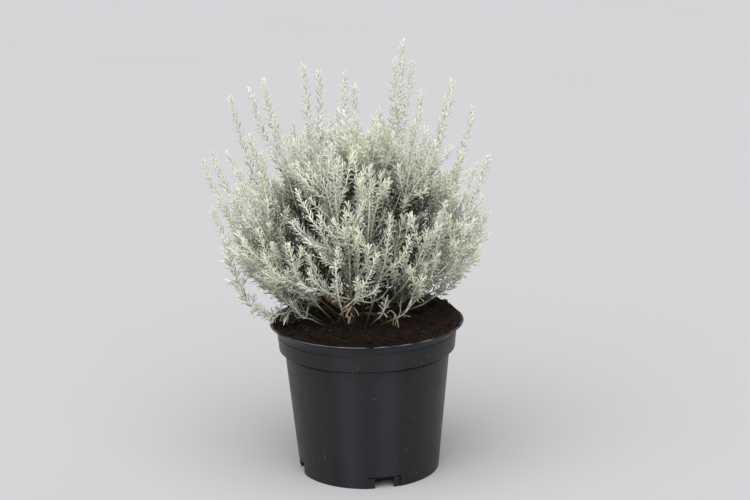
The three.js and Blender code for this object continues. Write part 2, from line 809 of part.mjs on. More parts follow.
addNode("nursery_pot", makePot(), "pot");
addNode("potting_soil", soil, "soil");
const arms = crownShoots.map((shoot) => woodSolid(shoot));
addNode("woody_crown", arms.reduce((whole, arm) => whole.add(arm)), "wood");
for (const branch of branches) {
  const name = `leafy_stem_${String(branch.node).padStart(2, "0")}`;
  addNode(name, branchSolid(branch.shoots[0]), "leaf");
}
const leafCount = shoots.flatMap((shoot) => shoot.roots).filter((root) => root.end).length;
console.log(branches.length, "branches,", shoots.length, "shoots,", leafCount, "leaves");

export default plant;
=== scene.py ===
# %% [markdown]
# # A curry plant in its nursery pot
# A curry plant is a small silvery bush. Thin felted stems rise from an old woody crown, and each carries
# hundreds of needle leaves. This one stands in crumbly potting soil, in the black plastic pot that it is
# sold in. The solid model gives every piece its place and size. This script gives each its fine surface.

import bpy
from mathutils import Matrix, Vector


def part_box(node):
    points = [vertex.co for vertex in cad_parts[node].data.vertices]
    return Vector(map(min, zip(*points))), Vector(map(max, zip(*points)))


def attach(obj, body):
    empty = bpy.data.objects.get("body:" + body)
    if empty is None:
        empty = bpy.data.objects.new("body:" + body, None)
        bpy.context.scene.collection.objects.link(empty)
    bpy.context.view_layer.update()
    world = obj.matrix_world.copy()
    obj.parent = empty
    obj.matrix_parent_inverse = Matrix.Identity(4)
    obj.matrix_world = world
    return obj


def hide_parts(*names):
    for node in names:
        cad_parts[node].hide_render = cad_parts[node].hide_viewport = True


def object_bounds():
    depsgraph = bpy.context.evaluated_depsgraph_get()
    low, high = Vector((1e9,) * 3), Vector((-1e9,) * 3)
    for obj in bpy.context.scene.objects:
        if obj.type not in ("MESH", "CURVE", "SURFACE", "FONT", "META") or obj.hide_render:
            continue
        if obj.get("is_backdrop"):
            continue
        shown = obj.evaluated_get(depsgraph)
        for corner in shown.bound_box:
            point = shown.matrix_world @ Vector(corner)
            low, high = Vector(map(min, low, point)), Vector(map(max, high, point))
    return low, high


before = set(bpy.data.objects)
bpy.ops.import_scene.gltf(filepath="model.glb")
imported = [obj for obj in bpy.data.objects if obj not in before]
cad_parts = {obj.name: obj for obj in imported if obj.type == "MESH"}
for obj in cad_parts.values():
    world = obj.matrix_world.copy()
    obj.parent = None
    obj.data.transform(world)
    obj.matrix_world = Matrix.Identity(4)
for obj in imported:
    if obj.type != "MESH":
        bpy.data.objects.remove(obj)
solid_box = [list(corner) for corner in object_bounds()]
print("solids:", len(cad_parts), "in a box from", solid_box[0], "to", solid_box[1])

# %% [markdown]
# ## Working in millimetres
# A leaf is about a millimetre wide, so the plant is worked out in millimetres, as its solids were, and
# turned into metres when a mesh is made. Tens of thousands of leaf faces are made at once as arrays of
# numbers, which is much faster in Blender than adding faces one at a time.

# %% Turn arrays of points and faces into a mesh
import math

import bmesh
import bpy
import numpy as np
from mathutils import Matrix, Vector, noise

MM = 0.001


def mesh_from(points, faces):
    """A smooth mesh from points in millimetres and a list of arrays of faces, each of one size."""
    mesh = bpy.data.meshes.new("mesh")
    corners = np.concatenate([part.ravel() for part in faces])
    sizes = np.concatenate([np.full(len(part), part.shape[1]) for part in faces])
    starts = np.concatenate([[0], np.cumsum(sizes)[:-1]])
    mesh.vertices.add(len(points))
    mesh.vertices.foreach_set("co", (points * MM).astype(np.float32).ravel())
    mesh.loops.add(len(corners))
    mesh.loops.foreach_set("vertex_index", corners.astype(np.int32))
    mesh.polygons.add(len(sizes))
    mesh.polygons.foreach_set("loop_start", starts.astype(np.int32))
    mesh.polygons.foreach_set("use_smooth", np.ones(len(sizes), bool))
    mesh.update(calc_edges=True)
    return mesh


print("a millimetre is", MM, "of Blender's metres")


# %% Show a mesh as a piece of the plant
def paint(mesh, name, values):
    """Keeps one number for each point, for a finish to read."""
    attribute = mesh.attributes.new(name, "FLOAT", "POINT")
    attribute.data.foreach_set("value", np.asarray(values, np.float32))


def place(name, mesh, finishes, slot, *nodes):
    """Shows a mesh as a piece, with its finishes, in place of the solids that it stands for."""
    mesh.name = name
    piece = bpy.data.objects.new(name, mesh)
    bpy.context.scene.collection.objects.link(piece)
    for finish in finishes:
        mesh.materials.append(finish)
    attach(piece, "root")
    if nodes:
        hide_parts(*nodes)


print("every piece rides on the one body that the plant has")

# %% [markdown]
# ## The soil's surface
# The mound of soil is low and lumpy, and flat at the pot's wall. The stems are rooted at its height, so the
# same formula as in the solid model comes before them. Long and short waves, added up, make the lumps.

# %% The height of the soil
POT_HEIGHT = 150
RIM_RADIUS = 95
SOIL_LEVEL = 147.5
MOUND_RISE, LUMP_RISE = 7, 1.9


def soil_height(x, y):
    share = np.minimum(1, np.sqrt(x * x + y * y) / RIM_RADIUS)
    waves = np.sin(x * 0.21 + 1.3) * np.sin(y * 0.19 + 0.4)
    waves = waves + 0.7 * np.sin(x * 0.43 - y * 0.28 + 2.1) + 0.5 * np.sin(x * 0.13 + y * 0.57 + 0.9)
    return SOIL_LEVEL + MOUND_RISE * (1 - share**2) + LUMP_RISE * waves * (1 - share**6)


print("soil height at the middle:", round(float(soil_height(0, 0)), 1), "mm")

# %% [markdown]
# ## One shoot
# A shoot leaves its root leaning out and then turns up to the light, so it is one smooth curve with four
# handles. Blender has curve objects for that, but the leaves need to know where the stem is at any length
# and which way round is out. A small class that works out points and directions is clearer here. Its
# `corner` method gives a direction square to the stem, in a frame that doesn't twist. The solid follows the
# curve in a few straight segments, from one station to the next, and may start with a foot in the soil.

# %% A shoot as a curve
GOLDEN_ANGLE = math.radians(137.508)
TURN = 2 * math.pi
SHARES = np.linspace(0, 1, 201)


def unit(vector):
    return vector / np.linalg.norm(vector, axis=-1, keepdims=True)


class Shoot:
    def __init__(self, handles, radii, segments, foot_depth=0):
        self.handles = np.array(handles, float)
        self.radii, self.segments, self.foot_depth = radii, segments, foot_depth
        steps = np.linalg.norm(np.diff(self.at(SHARES), axis=0), axis=1)
        self.lengths = np.concatenate([[0], np.cumsum(steps)])
        self.length, self.tip = self.lengths[-1], self.handles[3]
        leaving = self.handles[1] - self.handles[0]
        side = np.cross(leaving, self.handles[3] - self.handles[2])
        if np.linalg.norm(side) < 1:
            side = np.array([-leaving[1], leaving[0], 0])
        self.side = unit(side)
        self.foot_share = -foot_depth / self.length
        self.stations = self.at(np.linspace(0, 1, segments + 1))
        if foot_depth:
            self.stations[0] = self.handles[0] - unit(leaving) * foot_depth
        self.roots = []

    def at(self, share):
        t = np.asarray(share, float)[..., None]
        a, b, c, d = self.handles
        return a * (1 - t) ** 3 + 3 * b * t * (1 - t) ** 2 + 3 * c * t**2 * (1 - t) + d * t**3

    def tangent(self, share):
        t = np.maximum(0, share)
        return unit(self.at(np.minimum(1, t + 1e-4)) - self.at(np.maximum(0, t - 1e-4)))

    def corner(self, share, angle):
        tangent = self.tangent(share)
        first = unit(self.side - tangent * np.sum(self.side * tangent, axis=-1, keepdims=True))
        angle = np.asarray(angle)[..., None]
        return first * np.cos(angle) + np.cross(tangent, first) * np.sin(angle)

    def share_of(self, length):
        return np.interp(length, self.lengths, SHARES)

    def station_before(self, share):
        """The station before a share of the length, and how far on to the next one the share is."""
        station = int(max(0, min(self.segments - 1, math.floor(share * self.segments))))
        start = station / self.segments if station else self.foot_share
        step = (station + 1) / self.segments - start
        return station, (share - start) / step, step * self.length

    def straight(self, share):
        """A point on the solid's straight segments."""
        station, along, _ = self.station_before(share)
        return self.stations[station] * (1 - along) + self.stations[station + 1] * along

    def radius(self, share):
        return self.radii[0] + (self.radii[1] - self.radii[0]) * np.maximum(0, share)


print("a shoot's length is measured over", len(SHARES) - 1, "short steps")

# %% [markdown]
# ## Room to grow
# Real shoots find their own space. Each planted shoot leaves a row of balls in a list, and a new shoot is
# only planted where it stays clear of all of them. Blender could test meshes for overlaps, but balls in an
# array are quicker by far, and close enough for thin stems.

# %% Keep the room that each shoot takes
BALL_SPACING = 2.5
taken = [np.zeros((0, 3)), np.zeros(0), np.zeros(0, int)]


def balls_of(shoot):
    count = math.ceil(shoot.length / BALL_SPACING)
    shares = [shoot.foot_share + (1 - shoot.foot_share) * i / count for i in range(count + 1)]
    return np.array([shoot.straight(share) for share in shares]), shoot.radius(np.array(shares))


def is_clear(branch, places, reach):
    """Whether balls at these places, of these radii, miss all the branches but their own."""
    others = taken[2] != branch
    apart = np.linalg.norm(places[:, None] - taken[0][None, others], axis=2)
    return bool((apart > reach[:, None] + taken[1][None, others]).all())


def shoot_is_clear(branch, shoot, gap):
    places, radii = balls_of(shoot)
    return is_clear(branch, places, radii + gap)


def take_room(branch, shoot):
    places, radii = balls_of(shoot)
    for column, values in enumerate((places, radii, np.full(len(radii), branch))):
        taken[column] = np.concatenate([taken[column], values])


print("a ball every", BALL_SPACING, "mm keeps each stem's room")

# %% [markdown]
# ## The old crown
# The crown is last years' wood: a stub with a root in the soil, an arm up to the left, a thin one along the
# soil to the right, one behind, and a dry twig that hooks down in front. It could be modelled as one block
# of wood, but arms as curves keep their own thickness. It is listed first, because the young stems grow
# round it. Each row is four handles, and then the radius at the start and at the end.

# %% The arms of the crown
CROWN_FOOT_DEPTH = 14
CROWN_ARMS = [
    [[-12, -14, 150], [-13, -15, 155], [-14, -16, 160], [-17, -18, 164], [4.4, 3.4]],
    [[-16, -17, 162], [-24, -20, 168], [-34, -23, 174], [-43, -24, 186], [3, 1.9]],
    [[-14, -17, 160], [-2, -23, 163], [10, -26, 164], [24, -28, 160], [2.2, 1.4]],
    [[-15, -16, 161], [-16, -8, 167], [-18, 2, 172], [-22, 10, 180], [2.4, 1.4]],
    [[-8, -20, 161.5], [-8, -26, 163], [-12, -32, 161], [-15, -38, 156.5], [1.3, 0.9]],
]
crown_arms = [Shoot(arm[:4], arm[4], 4, 0 if i else CROWN_FOOT_DEPTH) for i, arm in enumerate(CROWN_ARMS)]
for arm in crown_arms:
    take_room(0, arm)
print("crown arms:", [round(arm.length) for arm in crown_arms], "mm long")

# %% [markdown]
# ## Planting the branches
# The branches whose tips stand out against the background are listed by where their last leaves end. The
# others come from a rule: their tips are spread over a dome by the golden angle. A branch is rooted in the
# nearest free place of a disc of soil. The rule and its seed are the solid model's own, so each branch here
# follows the solid that it replaces. The solids' points could be read back instead, but a rule can also be
# changed and run again.

# %% Where the listed branches end
CROWN_X = -10
END_LEAF = 6.4
LOW_BRANCH = [[-24, -22, 152], [-58, -30, 215], [-108, -30, 95], [-134, -25, 241]]
OUTLINE_BRANCHES = [
    [[40, 14, 425], [32, -4, 409], [48, 30, 403]],
    [[-53, -42, 411], [-40, -24, 403]],
    [[-96, 52, 385], [-109, 38, 378]],
    [[-17, 58, 389], [-7, 74, 373]],
    [[87, 40, 382], [82, 58, 364]],
    [[-122, -30, 382], [-104, -44, 348]],
    [[103, -26, 367], [92, -48, 328]],
    [[54, -62, 389], [66, -78, 344]],
    [[-153, 8, 312], [-147, 26, 318], [-133, 44, 315]],
    [[120, 14, 313], [110, 34, 300]],
    [[-82, -20, 361], [-66, -6, 350]],
    [[-72, 80, 322], [-92, 92, 304]],
    [[11, -8, 348], [2, -30, 336]],
    [[118, -10, 264], [111, -28, 282]],
    [[-145, -12, 271], [-137, -32, 288]],
    [[109, 10, 221], [100, 30, 214]],
    [[-135, 16, 232], [-122, 36, 224]],
    [[74, 0, 189], [90, -18, 203]],
    [[-104, 0, 206], [-96, 22, 198]],
]
print("listed branches:", 1 + len(OUTLINE_BRANCHES), "highest end:", OUTLINE_BRANCHES[0][0][2], "mm")

# %% Draw the numbers that the solids were planted with
drawn = 20241


def draw():
    """A repeatable number from 0 to 1."""
    global drawn
    drawn = (drawn * 1664525 + 1013904223) % 4294967296
    return drawn / 4294967296


print("the planting starts from", drawn)

# %% How a leader leaves the soil and turns up
STEM_RADII = (1.8, 1.0)
LEADER_SEGMENTS, LEADER_FOOT = 7, 9
ROOT_DISC = (3, 36)
ROOT_SPACING, LEADER_GAP = 7, 1.6
root_places = []


def elevation_of(tip):
    return math.atan2(tip[2] - POT_HEIGHT, math.hypot(tip[0] - CROWN_X, tip[1]))


def leader(root, tip):
    azimuth = math.atan2(tip[1] - root[1], tip[0] - root[0])
    elevation = elevation_of(tip)

    def handle(angle, lean, share):
        up = math.radians(angle) + lean * elevation
        out = [math.cos(azimuth) * math.cos(up), math.sin(azimuth) * math.cos(up), math.sin(up)]
        return np.array(out) * np.linalg.norm(tip - root) * share

    handles = [root, root + handle(14, 0.76, 0.38), tip - handle(62, 0.3, 0.36), tip]
    return Shoot(handles, STEM_RADII, LEADER_SEGMENTS, LEADER_FOOT)


def rooted_leader(branch, tip):
    """A leader from the nearest free place, which is looked for along a spiral."""
    azimuth = math.atan2(tip[1], tip[0] - CROWN_X)
    radius = ROOT_DISC[0] + ROOT_DISC[1] * math.cos(elevation_of(tip))
    for tries in range(240):
        away, turn = 1.05 * math.sqrt(tries), azimuth + tries * GOLDEN_ANGLE
        x = CROWN_X + radius * math.cos(azimuth) + away * math.cos(turn)
        y = radius * math.sin(azimuth) + away * math.sin(turn)
        if any(math.hypot(other[0] - x, other[1] - y) < ROOT_SPACING for other in root_places):
            continue
        shoot = leader(np.array([x, y, soil_height(x, y) - 0.5]), tip)
        if shoot_is_clear(branch, shoot, LEADER_GAP):
            root_places.append((x, y))
            return shoot


print("roots stand at least", ROOT_SPACING, "mm apart")

# %% How a side shoot leaves its leader
ROOT_MARGIN, ROOT_GAP = 3.6, 4
SIDES = 3


def bent_shoot(start, tip, first, last, reach, radii):
    """A shoot that leaves its start in one direction and comes to its tip in another."""
    span = np.linalg.norm(tip - start)
    handles = [start, start + unit(first) * span * reach, tip - unit(last) * span * 0.32, tip]
    return Shoot(handles, radii, 3)


def side_shoot(parent, share, tip):
    start = parent.straight(share)
    first = unit(tip - start) + parent.tangent(share) * 0.4
    last = parent.tangent(min(1, share + 0.3)) + np.array([0, 0, 0.5])
    return bent_shoot(start, tip, first, last, 0.36, (parent.radius(share) * 0.85, STEM_RADII[1]))


def finds_root(parent, share, direction):
    """Whether the leader, which has three flat sides, has room for a side shoot's foot there."""
    station, along, height = parent.station_before(share)
    angle = math.atan2(direction @ parent.corner(share, math.pi / 2), direction @ parent.corner(share, 0))
    side = math.floor((angle / (TURN / SIDES)) % SIDES)
    if along < ROOT_MARGIN / height or along > 1 - ROOT_MARGIN / height:
        return False
    if any(at == (station, side) and abs(other - along) * height < ROOT_GAP for at, other in parent.roots):
        return False
    parent.roots.append(((station, side), along))
    return True


print("a side shoot's foot is about", round(STEM_RADII[0] * 0.85, 1), "mm in radius")

# %% Where the ruled side shoots end
def underside(place):
    """The bush's underside, above which side shoots end. It rises outwards."""
    away = math.hypot(place[0] - CROWN_X, place[1])
    return POT_HEIGHT + 22 + 0.7 * max(0, away - 56)


def ruled_side_tips(main):
    """The first free place beside the leader at each of two levels."""
    tips = []
    for share, level in ((0.34, 0.8), (0.5, 0.92)):
        turn = draw() * TURN
        for tries in range(8):
            tip = main.straight(level) + main.corner(level, turn + tries * TURN / 8) * 24
            if tip[2] > underside(tip) and is_clear(0, tip[None], np.array([11.0])):
                tips.append((tip, share))
                break
    return tips


def leaves_branch(shoots, shoot):
    """Whether a side shoot keeps clear of its own branch, from where it has left the leader."""
    places, radii = balls_of(shoot)
    beyond = np.linalg.norm(places - shoot.stations[0], axis=1) > 10
    for other in shoots:
        other_places, other_radii = balls_of(other)
        apart = np.linalg.norm(places[beyond][:, None] - other_places[None], axis=2)
        if (apart <= radii[beyond][:, None] + other_radii[None] + 0.4).any():
            return False
    return True


print("the underside at the middle:", underside((CROWN_X, 0)), "mm")

# %% Plant them all
BRANCH_COUNT = 54
DOME_PLACES, DOME_REACH, DOME_LOWEST = 120, 285, math.radians(21)
HIGHEST_RULED, TIP_SPACING = 362, 25
branches = []


def plant_branch(main, side_tips, ruled=False):
    """Plants a leader and its side shoots. A ruled one must leave its branch, a listed one may stay close."""
    branch = len(branches) + 1
    take_room(branch, main)
    shoots = [main]
    branches.append(shoots)
    for tip, share in side_tips:
        shoot = side_shoot(main, share, tip)
        before = list(main.roots)
        found = finds_root(main, share, tip - main.straight(share)) and shoot_is_clear(branch, shoot, 2.2)
        if found and (leaves_branch(shoots, shoot) or not ruled):
            take_room(branch, shoot)
            shoots.append(shoot)
        else:
            main.roots = before


def dome_tip(order):
    """A place on the dome. The higher it is, the more it may drop below the dome's full reach."""
    rise = 1 - (order + 0.5) / DOME_PLACES * (1 - math.sin(DOME_LOWEST))
    elevation, azimuth = math.asin(rise), order * GOLDEN_ANGLE + 0.5
    drop = (0.12 + (0.36 - 0.12) * rise**4) * (0.25 + 0.75 * draw())
    reach = DOME_REACH * rise**1.15 * (1 - drop)
    aside = reach * math.cos(elevation)
    x, y = CROWN_X + aside * math.cos(azimuth), aside * math.sin(azimuth)
    return np.array([x, y, POT_HEIGHT + reach * rise])


plant_branch(Shoot(LOW_BRANCH, STEM_RADII, LEADER_SEGMENTS, LEADER_FOOT), [])
root_places.append(tuple(LOW_BRANCH[0][:2]))
for ends in OUTLINE_BRANCHES:
    tip, *others = [np.array([x, y, z - END_LEAF]) for x, y, z in ends]
    main = rooted_leader(len(branches) + 1, tip)
    if main:
        plant_branch(main, list(zip(others, (0.5, 0.36))))
for i in range(DOME_PLACES):
    if len(branches) == BRANCH_COUNT:
        break
    tip = dome_tip(i * 37 % DOME_PLACES)
    nearest = min(np.linalg.norm(shoot.tip - tip) for shoots in branches for shoot in shoots)
    if tip[2] > HIGHEST_RULED or nearest < TIP_SPACING:
        continue
    main = rooted_leader(len(branches) + 1, tip)
    if main:
        plant_branch(main, ruled_side_tips(main), ruled=True)
print("branches:", len(branches), "shoots:", sum(map(len, branches)))

# %% Compare each branch's highest tip with the top of the solid that it follows
tops = [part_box(f"leafy_stem_{number:02}")[1].z / MM for number in range(1, len(branches) + 1)]
misses = [top - max(shoot.tip[2] for shoot in shoots) for top, shoots in zip(tops, branches)]
print("solids' tops above the tips: from", round(min(misses), 1), "to", round(max(misses), 1), "mm")

# %% [markdown]
# ## More side shoots
# A plant of this age has several hundred shoots, most of them young ones that rise from older stems into the
# light. The solids keep to the main ones, and the rest are added here. A place for a tip is drawn in the
# round mass of the bush. Of all the stems, the one that can send a shoot up to it at the most natural angle
# does so, if the place and the way to it are still free. Growing outwards from each stem would be simpler,
# but then the tips bunch up round the stems and leave holes between them.

# %% Find the stem that can best reach a place
NATURAL_LEAN = 27
stem_shares = np.linspace(0.12, 0.85, 16)
stem_shoots = [(number, shoot) for number, shoots in enumerate(branches, 1) for shoot in shoots]
stem_points = np.array([shoot.at(stem_shares) for _, shoot in stem_shoots])
stem_tangents = np.array([shoot.tangent(stem_shares) for _, shoot in stem_shoots])


def stem_for(tip):
    """The branch's number, the stem and the share of its length where a shoot to the tip leaves it."""
    way = tip - stem_points
    length = np.linalg.norm(way, axis=-1)
    lean = np.degrees(np.arccos(np.clip(np.sum(way * stem_tangents, axis=-1) / length, -1, 1)))
    cost = np.abs(lean - NATURAL_LEAN) / 12 + length / 50
    cost[(length < 26) | (length > 88) | (lean > 46) | (lean < 9)] = np.inf
    best = np.unravel_index(np.argmin(cost), cost.shape)
    if cost[best] < np.inf:
        return *stem_shoots[best[0]], stem_shares[best[1]]


def young_shoot(parent, share, tip):
    start = parent.at(share)
    way = unit(tip - start)
    first, last = way + 0.3 * parent.tangent(share), way + np.array([0, 0, 0.9])
    return bent_shoot(start, tip, first, last, 0.38, (parent.radius(share) * 0.7, 0.8))


print("places on stems to grow from:", stem_points.shape[0] * stem_points.shape[1])

# %% Fill the mass of the bush
# Every fifth tip is drawn low behind the crown, where the bush would else be thin enough to see through.
rng = np.random.default_rng(7)
MASS_CENTRE = np.array([-10, 0, 232])
MASS_REACH = np.array([129, 120, 124])
MORE_SHOOTS, MOST_TRIES = 560, 6000


def drawn_tip(attempt):
    tip = MASS_CENTRE + unit(rng.normal(0, 1, 3)) * MASS_REACH * rng.uniform(0.1, 1) ** 0.4
    if attempt % 5 == 0:
        tip = np.array([rng.uniform(-62, 58), rng.uniform(-12, 62), rng.uniform(176, 212)])
    return tip


def in_front_of_crown(tip):
    """The low place in front where the old wood shows, because its shoots have died back."""
    return abs(tip[0] + 8) < 48 and tip[1] < -25 and tip[2] < 206


added, tries = 0, 0
while added < MORE_SHOOTS and tries < MOST_TRIES:
    tip = drawn_tip(tries)
    tries += 1
    if tip[2] < underside(tip) or in_front_of_crown(tip) or not is_clear(-1, tip[None], np.array([5.0])):
        continue
    found = stem_for(tip)
    if found is None:
        continue
    number, parent, share = found
    shoot = young_shoot(parent, share, tip)
    if shoot_is_clear(number, shoot, 0.6):
        take_room(number, shoot)
        branches[number - 1].append(shoot)
        added += 1
print("side shoots added:", added, "after", tries, "tries; shoots in all:", sum(map(len, branches)))

# %% [markdown]
# ## Short shoots on the low branch
# The low branch has lain in full light on the rim of the pot, so short shoots stand in its leaf axils all
# the way, and it looks like a full leafy rope. Longer leaves alone would only make it coarse. Two more
# shoots have lost their leaves and hang over the soil.

# %% Set short shoots along the low branch
AXIL_SPACING = 6.5


def short_shoot(parent, share, tip):
    start = parent.at(share)
    way = tip - start
    return Shoot([start, start + way * 0.33, start + way * 0.67, tip], (0.9, 0.7), 3)


low_branch = branches[0][0]
for order, length in enumerate(np.arange(52, low_branch.length - 20, AXIL_SPACING)):
    share = float(low_branch.share_of(length))
    aside = low_branch.corner(share, order * GOLDEN_ANGLE) + 0.9 * low_branch.tangent(share)
    tip = low_branch.at(share) + unit(aside) * rng.uniform(6, 10)
    branches[0].append(short_shoot(low_branch, share, tip))
hanging = [short_shoot(low_branch, 0.27, np.array([-60.0, -33, 161])),
           short_shoot(low_branch, 0.43, np.array([-79.0, -44, 159]))]
branches[0] += hanging
print("short shoots on the low branch:", len(branches[0]) - 1)

# %% [markdown]
# ## Stems
# A young stem is a thin round rod, thicker at its foot. Each is a tube along the curve, with eight sides for
# a leader and five for a side shoot, and a closed tip. Blender's own curves could be given a round bevel,
# but the felt's colour has to know how far up the stem each point lies. Stems wander a little on their way,
# so each gets a slight sway that starts and ends at zero.

# %% The walls and ends of round things
def ring_walls(rings, around):
    """The four-sided faces between rings of points that follow one another."""
    ring = np.arange(around)
    after = np.roll(ring, -1)
    rows = np.arange(rings - 1)[:, None] * around
    walls = [rows + ring, rows + after, rows + around + after, rows + around + ring]
    return np.stack(walls, axis=-1).reshape(-1, 4)


def fan(start, around, middle):
    """The triangles that close one ring round a point in its middle."""
    ring = start + np.arange(around)
    return np.stack([ring, np.roll(ring, -1), np.full(around, middle)], axis=-1)


def repeated(faces, count, points):
    """The faces of many like things, each of which has its own run of points."""
    offsets = (np.arange(count) * points)[:, None, None]
    return (faces[None] + offsets).reshape(-1, faces.shape[1])


print("eight points round and two rings make", len(ring_walls(2, 8)), "walls")


# %% A tube along a line of points
def tube(points, radii, sides):
    """Points and faces of a tube with a pointed end, and the share of its length at each point."""
    steps = unit(np.gradient(points, axis=0))
    side = np.cross(steps[0], [0.31, 0.17, 0.93])
    frames = []
    for step in steps:
        side = unit(side - step * (side @ step))
        frames.append((side, np.cross(step, side)))
    first, second = (np.array(part)[:, None] for part in zip(*frames))
    turns = (np.arange(sides) * TURN / sides)[None, :, None]
    around = first * np.cos(turns) + second * np.sin(turns)
    rings = points[:, None] + around * np.asarray(radii)[:, None, None]
    end = points[-1] + steps[-1] * radii[-1]
    faces = [ring_walls(len(points), sides), fan((len(points) - 1) * sides, sides, len(points) * sides)]
    shares = np.append(np.repeat(np.linspace(0, 1, len(points)), sides), 1)
    return np.concatenate([rings.reshape(-1, 3), end[None]]), faces, shares


def sway(shoot):
    """Gives a shoot its own slight sway, as a function of the share of its length."""
    size, waves = rng.uniform(0.3, 1.1), rng.uniform(1, 2.6)
    phase, turn = rng.uniform(0, 6.28, 2)

    def swayed(share):
        share = np.asarray(share, float)
        aside = size * np.sin(math.pi * np.clip(share, 0, 1)) * np.sin(TURN * waves * share + phase)
        across = shoot.corner(share, np.full(share.shape, turn))
        return shoot.at(np.maximum(share, 0)) + across * aside[..., None]

    return swayed


def stem(shoot, swayed):
    """A tube that tapers quickly at first, and is slightly uneven, like a stem with leaf scars."""
    count = max(6, int(shoot.length / 5))
    shares = shoot.share_of(np.linspace(0, shoot.length, count))
    points = swayed(shares)
    foot, tip = shoot.radii[0] * 0.56, 0.42
    radii = foot + (tip - foot) * np.linspace(0, 1, count) ** 0.7
    radii = radii * (1 + 0.06 * np.sin(np.arange(count) * 2.4))
    if shoot.foot_depth:
        points = np.concatenate([shoot.stations[:1], points])
        radii = np.concatenate([[foot], radii])
    return tube(points, radii, 8 if shoot.foot_depth else 5)


print("longest stem:", round(max(shoot.length for shoots in branches for shoot in shoots)), "mm")

# %% [markdown]
# ## Needle leaves
# A leaf is a narrow blade, some eight millimetres long and a little over one wide. Its edges are rolled
# under, so from above it shows two shoulders with a groove along the middle, and below it is white with
# felt. One leaf is five points round and three rings long with a pointed tip, and all the leaves of a shoot
# are bent and placed in one step, by multiplying arrays. Instances of one leaf would be simpler, but no two
# leaves would bend and taper in their own way.

# %% The form of one leaf
ALONG = np.array([0, 0.42, 0.84])
FULLNESS = np.array([0.6, 1.0, 0.84])
ACROSS = np.array([-0.48, 0, 0.48, 0.32, -0.32])
RISE = np.array([0.14, 0.03, 0.14, -0.17, -0.17])
UNDERSIDE = np.append(np.tile([0, 0, 0, 1, 1], len(ALONG)), 0.4)
LEAF_POINTS = len(UNDERSIDE)
LEAF_FACES = [ring_walls(len(ALONG), 5), fan(LEAF_POINTS - 6, 5, LEAF_POINTS - 1)]


def blades(root, out, upper, length, width, bend):
    """The points and faces of many leaves. Each starts at its root and bends towards its upper side."""
    count = len(root)
    length, width, bend = (value[:, None, None] for value in (length, width, bend))
    t = ALONG[None, :, None]
    outwards = out[:, None] * (t - bend**2 * t**3 / 6)
    middle = root[:, None] + length * (outwards + upper[:, None] * bend * t**2 / 2)
    lift = upper[:, None] * np.cos(bend * t) - out[:, None] * np.sin(bend * t)
    aside = np.cross(out, upper)[:, None, None]
    full = (width * FULLNESS[None, :, None])[..., None]
    section = aside * ACROSS[None, None, :, None] + lift[:, :, None] * RISE[None, None, :, None]
    rings = middle[:, :, None] + section * full
    bend, length = bend[:, 0], length[:, 0]
    tips = root + length * (out * (1 - bend**2 / 6) + upper * bend / 2)
    points = np.concatenate([rings.reshape(count, LEAF_POINTS - 1, 3), tips[:, None]], axis=1)
    faces = [repeated(part, count, LEAF_POINTS) for part in LEAF_FACES]
    return points.reshape(-1, 3), faces, np.tile(UNDERSIDE, count)


print("one leaf:", LEAF_POINTS, "points and", sum(map(len, LEAF_FACES)), "faces")

# %% [markdown]
# ## How the leaves stand
# Leaves stand in little whorls of four, and each whorl is turned from the last by the golden angle. At the
# tip they are short, close together and nearly upright, so that a shoot ends in a narrow tuft. Lower down
# they are longer, stand further apart and lean out, and near the ground most have fallen. Every leaf keeps
# four numbers for its colour: which of its faces is the underside, how young it is, a tone of its own, and
# how much light reaches it. That share is painted into the colour: inside the bush and low down leaves are
# painted dark and without felt, as painted shade.

# %% Where leaves stand on a shoot
def leaf_places(length, lush):
    """How far below the tip each leaf stands, and how far round the stem, four leaves to a node."""
    below, turn, node, facing = [], [], 0.2, rng.uniform(0, 6.28)
    while node < length - 3:
        for leaf in range(4):
            below.append(node + 0.35 * leaf)
            turn.append(facing + leaf * TURN / 4)
        node += min(4.4, 2.6 + 0.1 * node) / lush
        facing += GOLDEN_ANGLE
    return np.array(below), np.array(turn)


def painted_light(points):
    """How much light reaches a place, as painted light and shade in the colours: none in the middle of the
    bush or low down, all of it outside.
    """
    outwards = np.linalg.norm((points - MASS_CENTRE) / MASS_REACH, axis=1)
    aside = np.hypot(points[:, 0] - CROWN_X, points[:, 1])
    # Painted shade low down near the middle, and a little more painted light at the top of the bush.
    under = np.maximum(np.clip((points[:, 2] - 158) / 100, 0, 1), np.clip((aside - 50) / 30, 0, 1))
    above = 0.14 * np.clip((points[:, 2] - 250) / 60, 0, 1)
    return np.clip((outwards - 0.53 + above) / 0.38, 0, 1) * under


def is_bare(points):
    """Whether the leaves there have fallen: low over the crown, in front of it, or low on the right."""
    x, y, z = points.T
    low_wander, front_wander, right_wander = (rng.normal(0, size, len(points)) for size in (4, 8, 5))
    low = (np.hypot(x - CROWN_X, y + 10) < 64) & (z < np.where(y < 5, 172, 160) + low_wander)
    in_front = (np.abs(x + 14) < 30) & (y < -28) & (z < 192 + front_wander)
    right_edge = 172 - 0.28 * y + 0.55 * np.maximum(0, x - 58) + right_wander
    return low | in_front | (x > 36) & (x < 68) & (z < right_edge)


print("daylight at the middle and at the top:", painted_light(MASS_CENTRE + np.array([[0, 0, 0], [0, 0, 190]])))


# %% The leaves of one shoot
LEAF_LENGTH, LENGTH_GAIN = 6.0, 1.9
LEAF_WIDTH, WIDTH_GAIN = 1.2, 0.18


